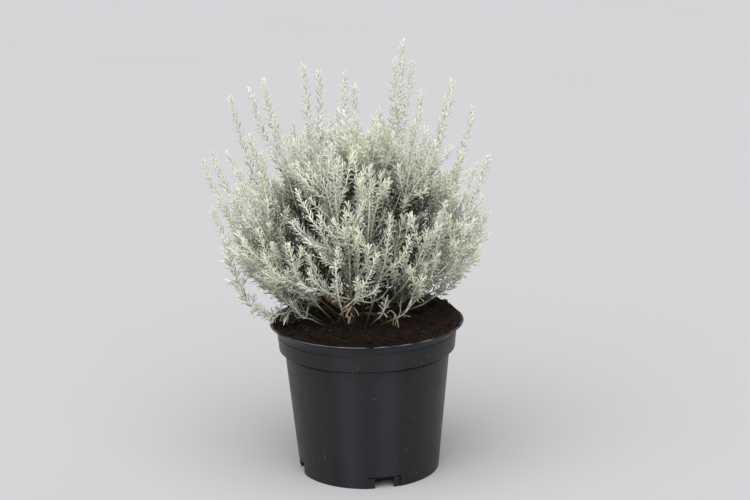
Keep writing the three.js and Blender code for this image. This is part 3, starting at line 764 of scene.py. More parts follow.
def leaves_of(shoot, swayed, bare, lush=1):
    below, turn = leaf_places(shoot.length, lush)
    above_foot = shoot.length - below
    kept = rng.random(len(below)) < np.clip((above_foot - 0.4 * bare) / max(bare, 1), 0, 1)
    places = shoot.at(shoot.share_of(above_foot))
    kept &= ~is_bare(places) & (rng.random(len(below)) < 0.6 + 1.6 * painted_light(places))
    below, turn = below[kept], turn[kept]
    count = len(below)
    share = shoot.share_of(shoot.length - below)
    age = 1 - np.exp(-below / 13)
    turn = turn + rng.normal(0, 0.22, count)
    opening = np.radians(33 + 23 * age + rng.normal(0, 10, count))[:, None]
    along, outward = shoot.tangent(share), shoot.corner(share, turn)
    out = along * np.cos(opening) + outward * np.sin(opening)
    upper = along * np.sin(opening) - outward * np.cos(opening)
    tilt = rng.normal(0, 0.3, count)[:, None]
    upper = upper * np.cos(tilt) + np.cross(out, upper) * np.sin(tilt)
    length = (LEAF_LENGTH + LENGTH_GAIN * age) * rng.uniform(0.76, 1.16, count) * lush**0.3
    width = (LEAF_WIDTH + WIDTH_GAIN * age) * rng.uniform(0.85, 1.15, count)
    bend = rng.normal(0.1, 0.42, count)
    root = swayed(share) + outward * 0.25
    points, faces, under = blades(root, out, upper, length, width, bend)
    youth, tone, light = np.exp(-below / 40), rng.random(count), painted_light(root)
    return points, faces, under, *[np.repeat(values, LEAF_POINTS) for values in (youth, tone, light)]


print("a leaf is about", LEAF_LENGTH, "mm long at a tip and", LEAF_LENGTH + LENGTH_GAIN, "mm lower down")

# %% [markdown]
# ## The felt
# Leaf and stem are covered in short white hairs. They aren't modelled one by one: at arm's length they only
# make the green paler, hide the gloss and brighten the rims, and that is what a sheen over a rough base
# does. Young leaves have the thickest felt, and the undersides are nearly white. The colours are given as
# the eye sees them, so a helper turns them into the linear values that the shader works with. A small class
# adds the nodes, because every finish here is made of the same few: noise, blends of two colours and a bump.

# %% Make finishes out of a few kinds of node
def seen(red, green, blue):
    """A colour as it is seen, from 0 to 255, in the linear values of the shader."""
    def linear(value):
        value = value / 255
        return value / 12.92 if value <= 0.04045 else ((value + 0.055) / 1.055) ** 2.4

    return (linear(red), linear(green), linear(blue), 1)


class Finish:
    def __init__(self, name, roughness, **inputs):
        self.material = bpy.data.materials.new(name)
        self.material.use_nodes = True
        self.tree = self.material.node_tree
        self.shader = self.tree.nodes["Principled BSDF"]
        self.fill(self.shader, Roughness=roughness, **inputs)

    def set(self, socket, value):
        """Gives a socket another node's output, a seen colour or a number."""
        if isinstance(value, bpy.types.NodeSocket):
            self.tree.links.new(value, socket)
        else:
            socket.default_value = seen(*value) if isinstance(value, tuple) else value

    def fill(self, node, **inputs):
        for name, value in inputs.items():
            self.set(node.inputs[name.replace("_", " ")], value)

    def add(self, kind, **inputs):
        node = self.tree.nodes.new("ShaderNode" + kind)
        self.fill(node, **inputs)
        return node

    def painted(self, name):
        """The number that a mesh keeps under this name at each point."""
        node = self.add("Attribute")
        node.attribute_name = name
        return node.outputs["Fac"]

    def where(self):
        return self.add("TexCoord").outputs["Object"]

    def axes(self):
        return self.add("SeparateXYZ", Vector=self.where()).outputs

    def noise(self, scale, detail=2.0, roughness=0.5, where=None):
        """Noise in the object's own space, in waves per metre."""
        where = self.where() if where is None else where
        node = self.add("TexNoise", Vector=where, Scale=scale, Detail=detail, Roughness=roughness)
        return node.outputs["Fac"]

    def spread(self, value, low, high, least=0, most=1):
        """Stretches a value so that it goes from least to most between low and high."""
        node = self.add("MapRange", Value=value, From_Min=low, From_Max=high, To_Min=least, To_Max=most)
        return node.outputs["Result"]

    def calculate(self, operation, *values):
        node = self.add("Math")
        node.operation = operation
        for socket, value in zip(node.inputs, values):
            self.set(socket, value)
        return node.outputs["Value"]

    def blend(self, share, first, second):
        """A colour between two others."""
        node = self.add("Mix")
        node.data_type = "RGBA"
        for number, value in ((0, share), (6, first), (7, second)):
            self.set(node.inputs[number], value)
        return node.outputs[2]

    def done(self, colour, grain, depth, strength):
        """The material, with its colour and a fine relief, whose depth is in metres."""
        relief = self.add("Bump", Height=self.noise(*grain), Distance=depth, Strength=strength)
        self.fill(self.shader, Base_Color=colour, Normal=relief.outputs["Normal"])
        return self.material


print("a middle grey of 128 is", round(seen(128, 128, 128)[0], 3), "to the shader")

# %% The felted leaf
THIN_FELT = dict(Sheen_Weight=0.08, Sheen_Roughness=0.5, Specular_IOR_Level=0.2)
LEAF_FELT, STEM_FELT = (253, 253, 247), (240, 242, 226)

finish = Finish("felted leaf", 0.8, Sheen_Tint=LEAF_FELT, **THIN_FELT)
tone = finish.painted("tone")
old = finish.blend(tone, (28, 38, 8), (126, 135, 88))
green = finish.blend(finish.painted("youth"), old, (194, 199, 163))
mottled = finish.blend(finish.spread(finish.noise(900), 0.44, 0.74), green, LEAF_FELT)
covered = finish.blend(finish.painted("underside"), mottled, LEAF_FELT)
# Painted shade: where little light reaches, inside the bush and low down, the leaf's colour is blended to
# these dark olives instead of its felt.
shaded = finish.blend(tone, (10, 13, 3), (44, 52, 18))
lit = finish.blend(finish.painted("painted_light"), shaded, covered)
felted_leaf = finish.done(lit, (2600,), 0.0002, 0.6)
print(felted_leaf.name, "has", len(finish.tree.nodes), "nodes")

# %% The felted stem
finish = Finish("felted stem", 0.85, Sheen_Tint=STEM_FELT, **THIN_FELT)
youth = finish.painted("youth")
bark = finish.blend(finish.noise(500, 4), (34, 26, 18), (78, 60, 44))
green = finish.blend(finish.spread(youth, 0.3, 0.6), (150, 156, 120), STEM_FELT)
wear_and_highlight_patches = finish.blend(finish.spread(finish.noise(260, 4), 0.5, 0.8), green, (120, 126, 92))
aged = finish.blend(finish.spread(youth, 0.14, 0.36), bark, wear_and_highlight_patches)
# Painted shade: stems where little light reaches, inside the bush and low down, are blended towards a dark
# brown.
lit = finish.blend(finish.spread(finish.painted("painted_light"), -0.3, 0.5), (36, 32, 22), aged)
felted_stem = finish.done(lit, (1800,), 0.0003, 0.6)
print(felted_stem.name, "has", len(finish.tree.nodes), "nodes")

# %% [markdown]
# ## The leafy branches
# Now each branch becomes one piece: its stems, then all its leaves, with a finish for each. One piece for
# the whole bush would be quicker, but a branch can then be bent, cut or taken out by itself.

# %% Join stems and leaves into branches
def join(parts):
    """Joins (points, faces, values...) tuples into one, with the faces' numbers moved on."""
    offset, points, faces, columns = 0, [], [], []
    for part_points, part_faces, *values in parts:
        points.append(part_points)
        faces += [part + offset for part in part_faces]
        columns.append(values)
        offset += len(part_points)
    return np.concatenate(points), faces, *[np.concatenate(column) for column in zip(*columns)]


def face_count(parts):
    return sum(len(part) for _, faces, *_ in parts for part in faces)


def triangles(mesh):
    mesh.calc_loop_triangles()
    return len(mesh.loop_triangles)


def grow_branch(number, shoots):
    stems, leaves = [], []
    for shoot in shoots:
        swayed = sway(shoot)
        points, faces, shares = stem(shoot, swayed)
        plain = np.zeros(len(points))
        youth = shares if shoot.foot_depth else 0.35 + 0.65 * shares
        # Each stem point keeps its share of painted light, from which the stem finish paints shade.
        stems.append((points, faces, plain, youth, plain + 0.5, painted_light(points)))
        bare_length = 26 if shoot.foot_depth else min(8, 0.2 * shoot.length)
        if shoot in hanging:
            bare_length = 3 * shoot.length
        leaves.append(leaves_of(shoot, swayed, bare_length, 1.4 if number == 1 else 1))
    points, faces, *painted = join(stems + leaves)
    mesh = mesh_from(points, faces)
    for name, values in zip(("underside", "youth", "tone", "painted_light"), painted):
        paint(mesh, name, values)
    place(f"branch_{number:02}", mesh, [felted_stem, felted_leaf], "leafy_shoots", f"leafy_stem_{number:02}")
    finish_faces(mesh, [face_count(stems), face_count(leaves)])
    return sum(len(part[0]) for part in leaves) // LEAF_POINTS, triangles(mesh)


def finish_faces(mesh, counts):
    """Gives the first faces, so many of them, the first finish, the next ones the second, and so on."""
    mesh.polygons.foreach_set("material_index", np.repeat(np.arange(len(counts)), counts).astype(np.int32))


grown = [grow_branch(number, shoots) for number, shoots in enumerate(branches, 1)]
leaf_total, triangle_total = (sum(column) for column in zip(*grown))
print("leaves:", leaf_total, "triangles:", triangle_total)
print("triangles in the largest branch:", max(faces for _, faces in grown))

# %% [markdown]
# ## The pot
# A nursery pot is moulded in one shot from black plastic: a thin wall turned round one axis, with a deep
# band, a flared rim and a raised floor on a foot ring. A subdivided cylinder would only come near its steps
# and its flare, so its outline is drawn once, its corners are rounded, and it is turned a full circle. Long
# stretches of the outline get extra points, which keep smooth shading flat on them.

# %% The pot's outline
FOOT_RADIUS, WALL_TOP_RADIUS = 69.4, 81.2
BAND_BOTTOM, BAND_TOP = 123.6, 139.3
BAND_BOTTOM_RADIUS, BAND_TOP_RADIUS = 86.3, 87.8
WALL, FLOOR_HEIGHT, FOOT_WALL = 1.4, 10.4, 2.6
FOOT_INSIDE = FOOT_RADIUS - FOOT_WALL
STEP_IN = 0.9


def wall_radius(height):
    return FOOT_RADIUS + (WALL_TOP_RADIUS - FOOT_RADIUS) * height / BAND_BOTTOM


def flare(radius_from, radius_to, bottom, top):
    """The rim leaves the band straight up and curves outwards along a quarter wave."""
    turns = np.linspace(0, math.pi / 2, 13)[1:]
    radii = radius_from + (radius_to - radius_from) * (1 - np.cos(turns))
    return list(zip(radii, bottom + (top - bottom) * np.sin(turns)))


def pot_outline():
    """The outline as (radius, height), up the outside from the middle of the floor and back down inside."""
    inside = FLOOR_HEIGHT + WALL
    outside = [(13, 0), (15, FLOOR_HEIGHT), (FOOT_INSIDE, FLOOR_HEIGHT), (FOOT_INSIDE, 0),
               (FOOT_RADIUS - 0.2, 0), (wall_radius(119.6), 119.6), (wall_radius(121) - STEP_IN, 121),
               (WALL_TOP_RADIUS - STEP_IN, BAND_BOTTOM), (BAND_BOTTOM_RADIUS, BAND_BOTTOM),
               (BAND_TOP_RADIUS, BAND_TOP)]
    outside += flare(BAND_TOP_RADIUS, RIM_RADIUS, BAND_TOP, POT_HEIGHT - 1)
    back_inside = [(wall_radius(inside) - WALL, inside), (wall_radius(110) - WALL, 110),
                   (WALL_TOP_RADIUS - WALL, BAND_BOTTOM + WALL),
                   (BAND_BOTTOM_RADIUS - WALL, BAND_BOTTOM + WALL), (BAND_TOP_RADIUS - WALL, BAND_TOP + WALL)]
    back_inside += flare(BAND_TOP_RADIUS - WALL, RIM_RADIUS - WALL, BAND_TOP + WALL, POT_HEIGHT)
    return outside + [(RIM_RADIUS, POT_HEIGHT)] + back_inside[::-1]


print("corners drawn:", len(pot_outline()))

# %% Round its corners and divide its stretches
LINE_HEIGHTS = (138.6, 141.5)
EDGE_RADIUS, STRETCH = 0.45, 9
ARC_SHARES = (0, 0.25, 0.5, 0.75, 1)


def rounded(outline):
    """The outline with a small arc at each sharp corner."""
    outline = np.array([(0, outline[0][1])] + outline + [(0, outline[-1][1])], float)
    points = [outline[0]]
    for before, corner, after in zip(outline, outline[1:], outline[2:]):
        back, on = before - corner, after - corner
        reach = min(EDGE_RADIUS, 0.45 * np.linalg.norm(back), 0.45 * np.linalg.norm(on))
        if unit(back) @ unit(on) < -0.93:
            points.append(corner)
            continue
        start, end = corner + unit(back) * reach, corner + unit(on) * reach
        points += [start * (1 - t) ** 2 + 2 * corner * t * (1 - t) + end * t**2 for t in ARC_SHARES]
    return points + [outline[-1]]


def crossed_lines(here, there):
    """Points on both sides of each fine line in the band that a stretch crosses on its way up."""
    heights = [line + d for line in LINE_HEIGHTS for d in (-0.5, -0.2, 0.2, 0.5)]
    return [here + (there - here) * (height - here[1]) / (there[1] - here[1])
            for height in heights if here[1] < height < there[1]]


def divided(here, there):
    """Points along a long stretch, and close to both of its ends."""
    length = np.linalg.norm(there - here)
    if length <= 1.5:
        return []
    parts = int(length / STRETCH) + 1
    stops = [0.4 / length, *np.arange(1, parts) / parts, 1 - 0.4 / length]
    return [here + (there - here) * stop for stop in stops]


def with_more(points, between):
    """The points, with those that a function gives between each two."""
    pairs = [[here, *between(here, there)] for here, there in zip(points, points[1:])]
    return sum(pairs, []) + [points[-1]]


outline = np.array(with_more(with_more(rounded(pot_outline()), crossed_lines), divided))
print("points in the pot's outline:", len(outline))

# %% Turn it round
LINE_DEPTH = 0.45


def parting_line(outline, turns):
    """How far the outside is pressed in at each point, in a thin groove that is higher on the right half."""
    right_half = np.cos(turns + 0.005) > 0
    outside = np.arange(len(outline)) < np.argmax(outline[:, 1])
    depth = np.zeros((len(outline), len(turns)))
    for height, half in zip(LINE_HEIGHTS, (~right_half, right_half)):
        near = outside & (np.abs(outline[:, 1] - height) < 0.3)
        depth[np.ix_(near, half)] = LINE_DEPTH
    return depth


def turned(outline, around):
    turns = np.arange(around) * TURN / around
    inner = outline[1:-1]
    radius = np.repeat(inner[:, :1], around, axis=1) - parting_line(inner, turns)
    z = np.repeat(inner[:, 1:], around, axis=1)
    rings = np.stack([radius * np.cos(turns), radius * np.sin(turns), z], axis=-1)
    points = np.concatenate([rings.reshape(-1, 3), [[0, 0, outline[0][1]], [0, 0, outline[-1][1]]]])
    under = fan(0, around, len(points) - 2)[:, [1, 0, 2]]
    over = fan((len(inner) - 1) * around, around, len(points) - 1)
    return mesh_from(points, [ring_walls(len(inner), around), under, over])


turned_pot = turned(outline, 96)
print("faces before cutting:", len(turned_pot.polygons))

# %% [markdown]
# ## Notches and drain holes
# Water leaves through holes in the floor and through notches in the foot ring, each in a shallow panel. They
# are cut out of the turned body with Boolean modifiers, just as the moulder's steel cores keep them clear.
# Leaving faces out of the turned body would be simpler, but its rings don't follow the notches' straight
# sides or the round holes.

# %% Cut the notches and drain holes
NOTCH_ANGLES = [math.radians(-77.7 + 90 * i) for i in range(4)]
NOTCH_WIDTH, NOTCH_HEIGHT = 19, 9.9
PANEL_WIDTH, PANEL_HEIGHT, PANEL_RADIUS = 31.5, 12, FOOT_RADIUS - 0.9
DRAIN_RADIUS, DRAIN_PLACE = 4.5, 46


def arc(radius, angles):
    return [(radius * math.cos(angle), radius * math.sin(angle)) for angle in angles]


def core(corners, bottom, top):
    """An upright block over corners that run anticlockwise, to be cut out of the pot."""
    count = len(corners)
    points = [(x * MM, y * MM, z * MM) for z in (bottom, top) for x, y in corners]
    walls = [(i, (i + 1) % count, (i + 1) % count + count, i + count) for i in range(count)]
    mesh = bpy.data.meshes.new("core")
    mesh.from_pydata(points, [], [list(range(count))[::-1], list(range(count, 2 * count)), *walls])
    return bpy.data.objects.new("core", mesh)


def panel_core(angle):
    sweep = angle + np.linspace(-0.5, 0.5, 17) * PANEL_WIDTH / PANEL_RADIUS
    return core(arc(75, sweep) + arc(PANEL_RADIUS, sweep[::-1]), -5, PANEL_HEIGHT)


def notch_core(angle):
    half, inner, outer = NOTCH_WIDTH / 2, FOOT_INSIDE - 3, 76
    box = ((inner, -half), (outer, -half), (outer, half), (inner, half))
    return core([Matrix.Rotation(angle, 2) @ Vector(corner) for corner in box], -5, NOTCH_HEIGHT)


def drain_core(angle):
    middle, edge = arc(DRAIN_PLACE, [angle]), arc(DRAIN_RADIUS, np.arange(32) * TURN / 32)
    return core(np.add(middle, edge), FLOOR_HEIGHT - 4, FLOOR_HEIGHT + 4)


def cut(mesh, tools):
    """The mesh after each tool has been taken out of it."""
    body = bpy.data.objects.new("body", mesh)
    for item in [body, *tools]:
        bpy.context.scene.collection.objects.link(item)
    for tool in tools:
        modifier = body.modifiers.new("cut", "BOOLEAN")
        modifier.operation, modifier.solver, modifier.object = "DIFFERENCE", "EXACT", tool
    result = bpy.data.meshes.new_from_object(body.evaluated_get(bpy.context.evaluated_depsgraph_get()))
    for item in [body, *tools]:
        bpy.data.objects.remove(item)
    return result


tools = [make(angle) for make in (panel_core, notch_core) for angle in NOTCH_ANGLES]
tools += [drain_core(angle + TURN / 8) for angle in NOTCH_ANGLES]
pot_mesh = cut(turned_pot, tools)
print("faces after", len(tools), "cuts:", len(pot_mesh.polygons))

# %% [markdown]
# ## Black plastic
# The plastic is a satin black with a trace of blue. It is never quite even: the draw out of the mould leaves
# faint upright streaks, handling leaves dull patches, and dust and splashes dry to pale specks. A thin
# parting line, where the mould's upper ring meets its body, runs round the foot of the flare and steps up
# at the seam of the two halves. It is a groove in the mesh. The streaks and specks are noise in the
# material, which costs no faces. Soft lighter upright bands at fixed angles all round the pot are painted
# reflections, and the top of the rim is painted paler in patches, as a painted highlight.

# %% The black plastic
finish = Finish("black plastic", 0.45, Specular_IOR_Level=0.36)
x, y, z = finish.axes()
stretch = finish.add("Mapping", Vector=finish.where())
stretch.inputs["Scale"].default_value = (1, 1, 0.04)
streaks = finish.noise(170, 4, 0.6, where=stretch.outputs["Vector"])
black = finish.blend(streaks, (12, 12, 15), (19, 19, 23))

# Painted reflections: soft lighter upright bands at fixed angles round the pot, standing in for the
# reflections of the soft boxes.
angle = finish.calculate("ARCTAN2", y, x)
waves = []
for count, start in ((11, 73.2), (4, 89.6)):
    turning = finish.calculate("MULTIPLY_ADD", angle, count, count * math.radians(start))
    waves.append(finish.calculate("COSINE", turning))
painted_reflection_bands = finish.spread(finish.calculate("ADD", *waves), -0.3, 1.6)
reflection_banded = finish.blend(painted_reflection_bands, black, (33, 33, 40))

dull = finish.spread(finish.noise(30, 5, 0.65), 0.4, 0.75)
hazed = finish.blend(finish.calculate("MULTIPLY", dull, 0.5), reflection_banded, (31, 31, 34))
# Painted highlight: the top of the rim is painted paler in patches, where its lip would catch the light from
# above.
wear_and_highlight_patches = finish.spread(finish.noise(45, 3), 0.42, 0.62)
painted_rim_highlight = finish.calculate("MULTIPLY", finish.spread(z, 0.1495, 0.15), wear_and_highlight_patches)
rim_highlighted = finish.blend(painted_rim_highlight, hazed, (116, 116, 118))
dots = finish.add("TexVoronoi", Vector=finish.where(), Scale=140).outputs["Distance"]
few = finish.spread(finish.noise(55), 0.5, 0.56)
specks = finish.calculate("MULTIPLY", finish.spread(dots, 0.1, 0.04), few)
dusty = finish.blend(specks, rim_highlighted, (108, 107, 104))
finish.fill(finish.shader, Roughness=finish.spread(dull, 0, 1, 0.38, 0.52))
black_plastic = finish.done(dusty, (900, 3), 0.0001, 0.35)
print(black_plastic.name, "has", len(finish.tree.nodes), "nodes")

# %% Set up the pot
pot_mesh.materials.clear()
pot_mesh.polygons.foreach_set("use_smooth", np.ones(len(pot_mesh.polygons), bool))
pot_mesh.set_sharp_from_angle(angle=math.radians(40))
place("pot", pot_mesh, [black_plastic], "black_plastic", "nursery_pot")
print("pot triangles:", triangles(pot_mesh))

# %% [markdown]
# ## The woody crown
# The crown is old wood with a thin reddish bark that cracks and peels in small flakes. Its arms are the same
# curves as in the solid, made as tubes with more sides, whose points are then pushed in and out by noise, so
# that no stretch is evenly round. Displacing them in the material would leave their outline smooth. Broken
# stubs show where last years' shoots stood, and thin roots hang from the arms that have lain on damp soil.

# %% Old bark and dry wood
finish = Finish("old bark", 0.85)
flakes = finish.spread(finish.noise(420, 5, 0.7), 0.35, 0.68)
brown = finish.blend(flakes, (94, 62, 48), (182, 142, 116))
weathered = finish.blend(finish.spread(finish.noise(130, 3), 0.52, 0.66), brown, (202, 174, 150))
near_soil = finish.spread(finish.axes()["Z"], 0.176, 0.163)
old_bark = finish.done(finish.blend(near_soil, weathered, (62, 44, 34)), (700, 6, 0.7), 0.0008, 0.9)


def mottled_finish(name, patches, dark, pale, relief=((2400, 3), 0.0002, 0.7), roughness=0.9, **inputs):
    """A finish of one colour that goes from dark to pale in patches."""
    finish = Finish(name, roughness, **inputs)
    return finish.done(finish.blend(finish.noise(*patches), dark, pale), *relief)


WOOD_RELIEF = ((1500, 4), 0.0003, 0.8)
dry_wood = mottled_finish("dry wood", (600, 4), (184, 152, 128), (232, 212, 192), WOOD_RELIEF)
print("finishes:", old_bark.name, "and", dry_wood.name)


# %% Rough arms and smooth twigs
def roughened(points, size, grain):
    """Each point moved by noise of the given grain, by up to about the given size, both in millimetres."""
    moves = [noise.noise_vector(Vector(point) / grain) for point in points]
    return points + np.array(moves) * size


def twig(path, foot, tip, sides=6, count=12):
    """A thin tube along a smooth path through a few points."""
    path = np.array(path, float)
    shares = np.linspace(0, len(path) - 1, count)
    smooth = np.stack([np.interp(shares, range(len(path)), path[:, axis]) for axis in range(3)], axis=1)
    for _ in range(2):
        smooth[1:-1] = (smooth[:-2] + 2 * smooth[1:-1] + smooth[2:]) / 4
    return tube(smooth, foot + (tip - foot) * np.linspace(0, 1, count), sides)[:2]


def old_arm(arm):
    """A crown arm as a tube of 14 sides, with a root if it has one, made rough in two grains."""
    shares = np.linspace(0, 1, max(16, int(arm.length * 1.4)))
    line, radii = arm.at(shares), arm.radius(shares)
    if arm.foot_depth:
        line = np.concatenate([arm.stations[:1], line])
        radii = np.append(radii[0] * 1.1, radii)
    points, faces, _ = tube(line, radii * 0.92, 14)
    return roughened(roughened(points, 1.1, 6), 0.4, 1.7), faces


def stubs(arm):
    found = []
    for share in rng.uniform(0.2, 0.95, 3):
        start = arm.at(share)
        aside = arm.corner(share, rng.uniform(0, TURN)) + 0.5 * arm.tangent(share)
        found.append(twig([start, start + unit(aside) * rng.uniform(3, 6)], 0.9, 0.6, 7, 6))
    return found


def rootlet(start, fall):
    foot = np.array(start) + rng.normal(0, 1.2, 3)
    hang = np.array([rng.normal(0, 4), rng.uniform(-9, -3), -fall * rng.uniform(0.5, 0.9)])
    return twig([foot, foot + hang * [0.5, 0.7, 0.25], foot + hang], 0.45, 0.15, 5)


bark_parts = [part for arm in crown_arms for part in [old_arm(arm), *stubs(arm)]]
dry_parts = [rootlet(*place_of) for place_of in 4 * [([-20, -19, 163], 11)] + 4 * [([-14, -22, 161], 13)]]
print("arms and stubs:", len(bark_parts), "rootlets:", len(dry_parts))

# %% [markdown]
# ## Twigs and dead shoots
# The twigs can be told apart in front of the crown, so they are listed: a pale side branch that rises on the
# left with a short fork, the dry hook on the right, and a dry twig that lies across the middle with others
# that hang from it. Four dead shoots still stand there without leaves. A row is the finish, the radius at
# the foot and at the tip, how many sides and rings the tube has, and then the path.

# %% Grow the crown
BARK, DRY, FELT = 0, 1, 2
TWIGS = [
    [DRY, 0.8, 0.4, 6, 16,
     (20, -28, 164), (23, -33, 168.6), (27, -38, 166.8), (30, -42, 160.8), (30.4, -44, 154.3)],
    [DRY, 0.5, 0.25, 6, 12, (27.5, -39, 165.5), (26, -41.5, 161.5), (25.4, -44, 157.4)],
    [DRY, 0.45, 0.2, 6, 12, (29.4, -42, 162), (28.2, -44, 159), (27.2, -46, 157)],
    [BARK, 1.8, 0.8, 10, 30,
     (-24, -20, 168), (-28, -30, 175), (-34, -38, 183), (-41, -44, 192), (-46, -48, 200), (-53, -50, 207),
     (-57, -52, 221)],
    [BARK, 1.0, 0.5, 7, 12, (-45, -47, 199), (-47, -50, 207), (-46, -52, 216)],
    [DRY, 1.0, 0.6, 8, 24,
     (-34, -38, 184), (-24, -47, 186), (-16, -50, 185), (-9, -50, 183.4), (4, -50, 181)],
    [DRY, 0.8, 0.45, 7, 14, (-9, -49, 183), (-13, -51, 178.5), (-16, -53, 175), (-19.5, -55, 168.5)],
    [DRY, 0.5, 0.25, 6, 12, (-13, -51, 178.5), (-9, -53, 174), (-7, -55, 170)],
    [DRY, 0.5, 0.25, 6, 12, (-15, -52, 176.5), (-21, -54, 174), (-25, -55, 171.5)],
]
DEAD_SHOOTS = [
    [(-40, -44, 191), (-38, -48, 200), (-33.8, -52, 212.4), (-29.3, -56, 231.3), (-25.7, -60, 249)],
    [(-30.5, -42, 185), (-24, -52, 206.3), (-18.8, -58, 222.8), (-14.7, -62, 239.7)],
    [(-16, -50, 185), (-17, -49, 193), (-9.9, -52, 205.5), (-3, -57, 216.7), (1, -60, 231.2)],
    [(4, -50, 181), (14, -47, 184), (22, -46, 193), (19.5, -50, 209.8), (11.3, -56, 230), (6.9, -60, 244.6)],
]
groups = [bark_parts, dry_parts, []]
felted = [[FELT, 0.85, 0.55, 7, 28, *path] for path in DEAD_SHOOTS]
for group, foot, tip, sides, count, *path in TWIGS + felted:
    groups[group].append(twig(path, foot, tip, sides, count))
points, faces = join(sum(groups, []))
crown_mesh = mesh_from(points, faces)
paint(crown_mesh, "youth", np.full(len(points), 0.4))
# The dead shoots keep one share of painted light, high enough that the stem finish paints no shade on them.
paint(crown_mesh, "painted_light", np.full(len(points), 0.6))
place("crown", crown_mesh, [old_bark, dry_wood, felted_stem], "old_wood", "woody_crown")
finish_faces(crown_mesh, [face_count(group) for group in groups])
print("crown faces:", len(crown_mesh.polygons))

# %% [markdown]
# ## The soil
# Potting soil is peat with bark fibre: nearly black, crumbly, with reddish threads. The ball fills the pot
# as one closed body, so it is a disc of fine rings whose top follows the mound, with rounded lumps of three
# sizes added. Displacing it in the material would be quicker, but the lumps' outline against the rim shows,
# so they are real.

# %% The ball of soil
SOIL_EDGE, SOIL_BOTTOM = 92.2, 10.3
SOIL_RINGS, SOIL_AROUND = 68, 250
LUMP_CELLS = ((11, 1.5), (5, 1.1), (2.4, 0.6))


def lumps(x, y):
    """Crumbs pressed into the surface, as the rounded middles of cells of three sizes."""
    height = 0
    for cell, rise in LUMP_CELLS:
        nearest = noise.voronoi(Vector((x / cell, y / cell, cell)))[0][0]
        height += rise * (0.45 - min(nearest, 0.9))
    return height * min(1, 0.5 + (92 - math.hypot(x, y)) / 14)


def loose_height(x, y):
    """The soil's height with the loose top, which rises against the rim, most at the back right."""
    away = np.hypot(x, y)
    rise = np.clip((away - 66) / 24, 0, 1) ** 1.5 * 2.2
    heap = np.clip((away - 34) / 40, 0, 1) * np.clip((94 - away) / 9, 0, 1)
    back_right, back = np.clip((x + y - 40) / 60, 0, 1), np.clip((y - x - 60) / 40, 0, 1)
    return soil_height(x, y) + (rise + heap * (8.5 * back_right + 2.5 * back))


def soil_ball():
    """The middle of the top, rings outwards and down the pot's wall, and the middle of the bottom."""
    turns = np.arange(SOIL_AROUND) * TURN / SOIL_AROUND
    radii = SOIL_EDGE * (np.arange(1, SOIL_RINGS + 1) / SOIL_RINGS) ** 0.8
    x, y = (radii[:, None] * np.cos(turns)).ravel(), (radii[:, None] * np.sin(turns)).ravel()
    top = loose_height(x, y) + [lumps(a, b) for a, b in zip(x, y)]
    wall = [(radius - 0.35, height + 0.1) for radius, height in flare(86.4, 93.6, 140.7, 150)[7::-2]]
    wall += [(86.0, 140.9), (84.5, 125.4), (79.4, 125.4), (68.6, SOIL_BOTTOM)]
    top[-SOIL_AROUND:] = np.maximum(top[-SOIL_AROUND:], wall[0][1] + 0.3)
    parts = [[[0, 0, float(loose_height(0, 0)) + lumps(0, 0)]], np.stack([x, y, top], axis=1)]
    for radius, z in wall:
        ring = [radius * np.cos(turns), radius * np.sin(turns), np.full(SOIL_AROUND, z)]
        parts.append(np.stack(ring, axis=1))
    points = np.concatenate([*parts, [[0, 0, SOIL_BOTTOM]]])
    rings = SOIL_RINGS + len(wall)
    quads = 1 + ring_walls(rings, SOIL_AROUND)[:, [0, 3, 2, 1]]
    middle = fan(1, SOIL_AROUND, 0)[:, [2, 0, 1]]
    bottom = fan(1 + (rings - 1) * SOIL_AROUND, SOIL_AROUND, len(points) - 1)[:, [1, 0, 2]]
    return points, [quads, middle, bottom]


ball = soil_ball()
print("points in the ball of soil:", len(ball[0]))

# %% [markdown]
# ## What lies on the soil
# Loose crumbs lie all over it, highest at the back right where the soil was heaped against the rim, and a
# few have spilled over the front of the rim. Each crumb is a small ball of facets with its points pulled in
# and out. Fibres are thin bent tubes. Fallen leaves are the same blades as on the shoots, lying flat. Moss
# grows in a few patches, as tufts of tiny leaves. Particles could be scattered by Blender's nodes, but
# arrays keep every crumb closed and on the soil.

# %% Crumbs
CRUMBS, SPILLED = 540, 40


def crumbs(places, sizes):
    """Balls of facets, each pulled out of round and squashed in its own way."""
    shape = bmesh.new()
    bmesh.ops.create_icosphere(shape, subdivisions=2, radius=1)
    base = np.array([point.co[:] for point in shape.verts])
    faces = np.array([[point.index for point in face.verts] for face in shape.faces])
    shape.free()
    pull = rng.uniform(0.72, 1.12, (len(places), len(base), 1))
    squash = rng.uniform(0.65, 1.1, (len(places), 1, 3))
    points = places[:, None] + base[None] * pull * squash * sizes[:, None, None]
    return points.reshape(-1, 3), [repeated(faces, len(places), len(base))]


def scattered(count, reach):
    """Places spread evenly on the soil's disc, with the soil's height."""
    radius, turn = reach * np.sqrt(rng.random(count)), rng.uniform(0, TURN, count)
    x, y = radius * np.cos(turn), radius * np.sin(turn)
    return np.stack([x, y, loose_height(x, y)], axis=1)


places = scattered(CRUMBS, 89)
sizes = 0.7 + 2.1 * rng.random(CRUMBS) ** 2.6
back_right = np.clip((places[:, 0] + places[:, 1] - 40) / 70, 0, 1)
sizes = sizes * (1 - 0.2 * back_right)
places[:, 2] += sizes * 0.3 + back_right * 0.8 * rng.random(CRUMBS)
spill = [rng.normal(3, 4, SPILLED), -rng.uniform(88, 95, SPILLED), 149.9 + 0.7 * rng.random(SPILLED)]
all_places = np.concatenate([places, np.stack(spill, axis=1)])
loose = crumbs(all_places, np.concatenate([sizes, rng.uniform(0.6, 1.5, SPILLED)]))
print("crumbs:", CRUMBS + SPILLED, "the largest", round(sizes.max(), 1), "mm in radius")


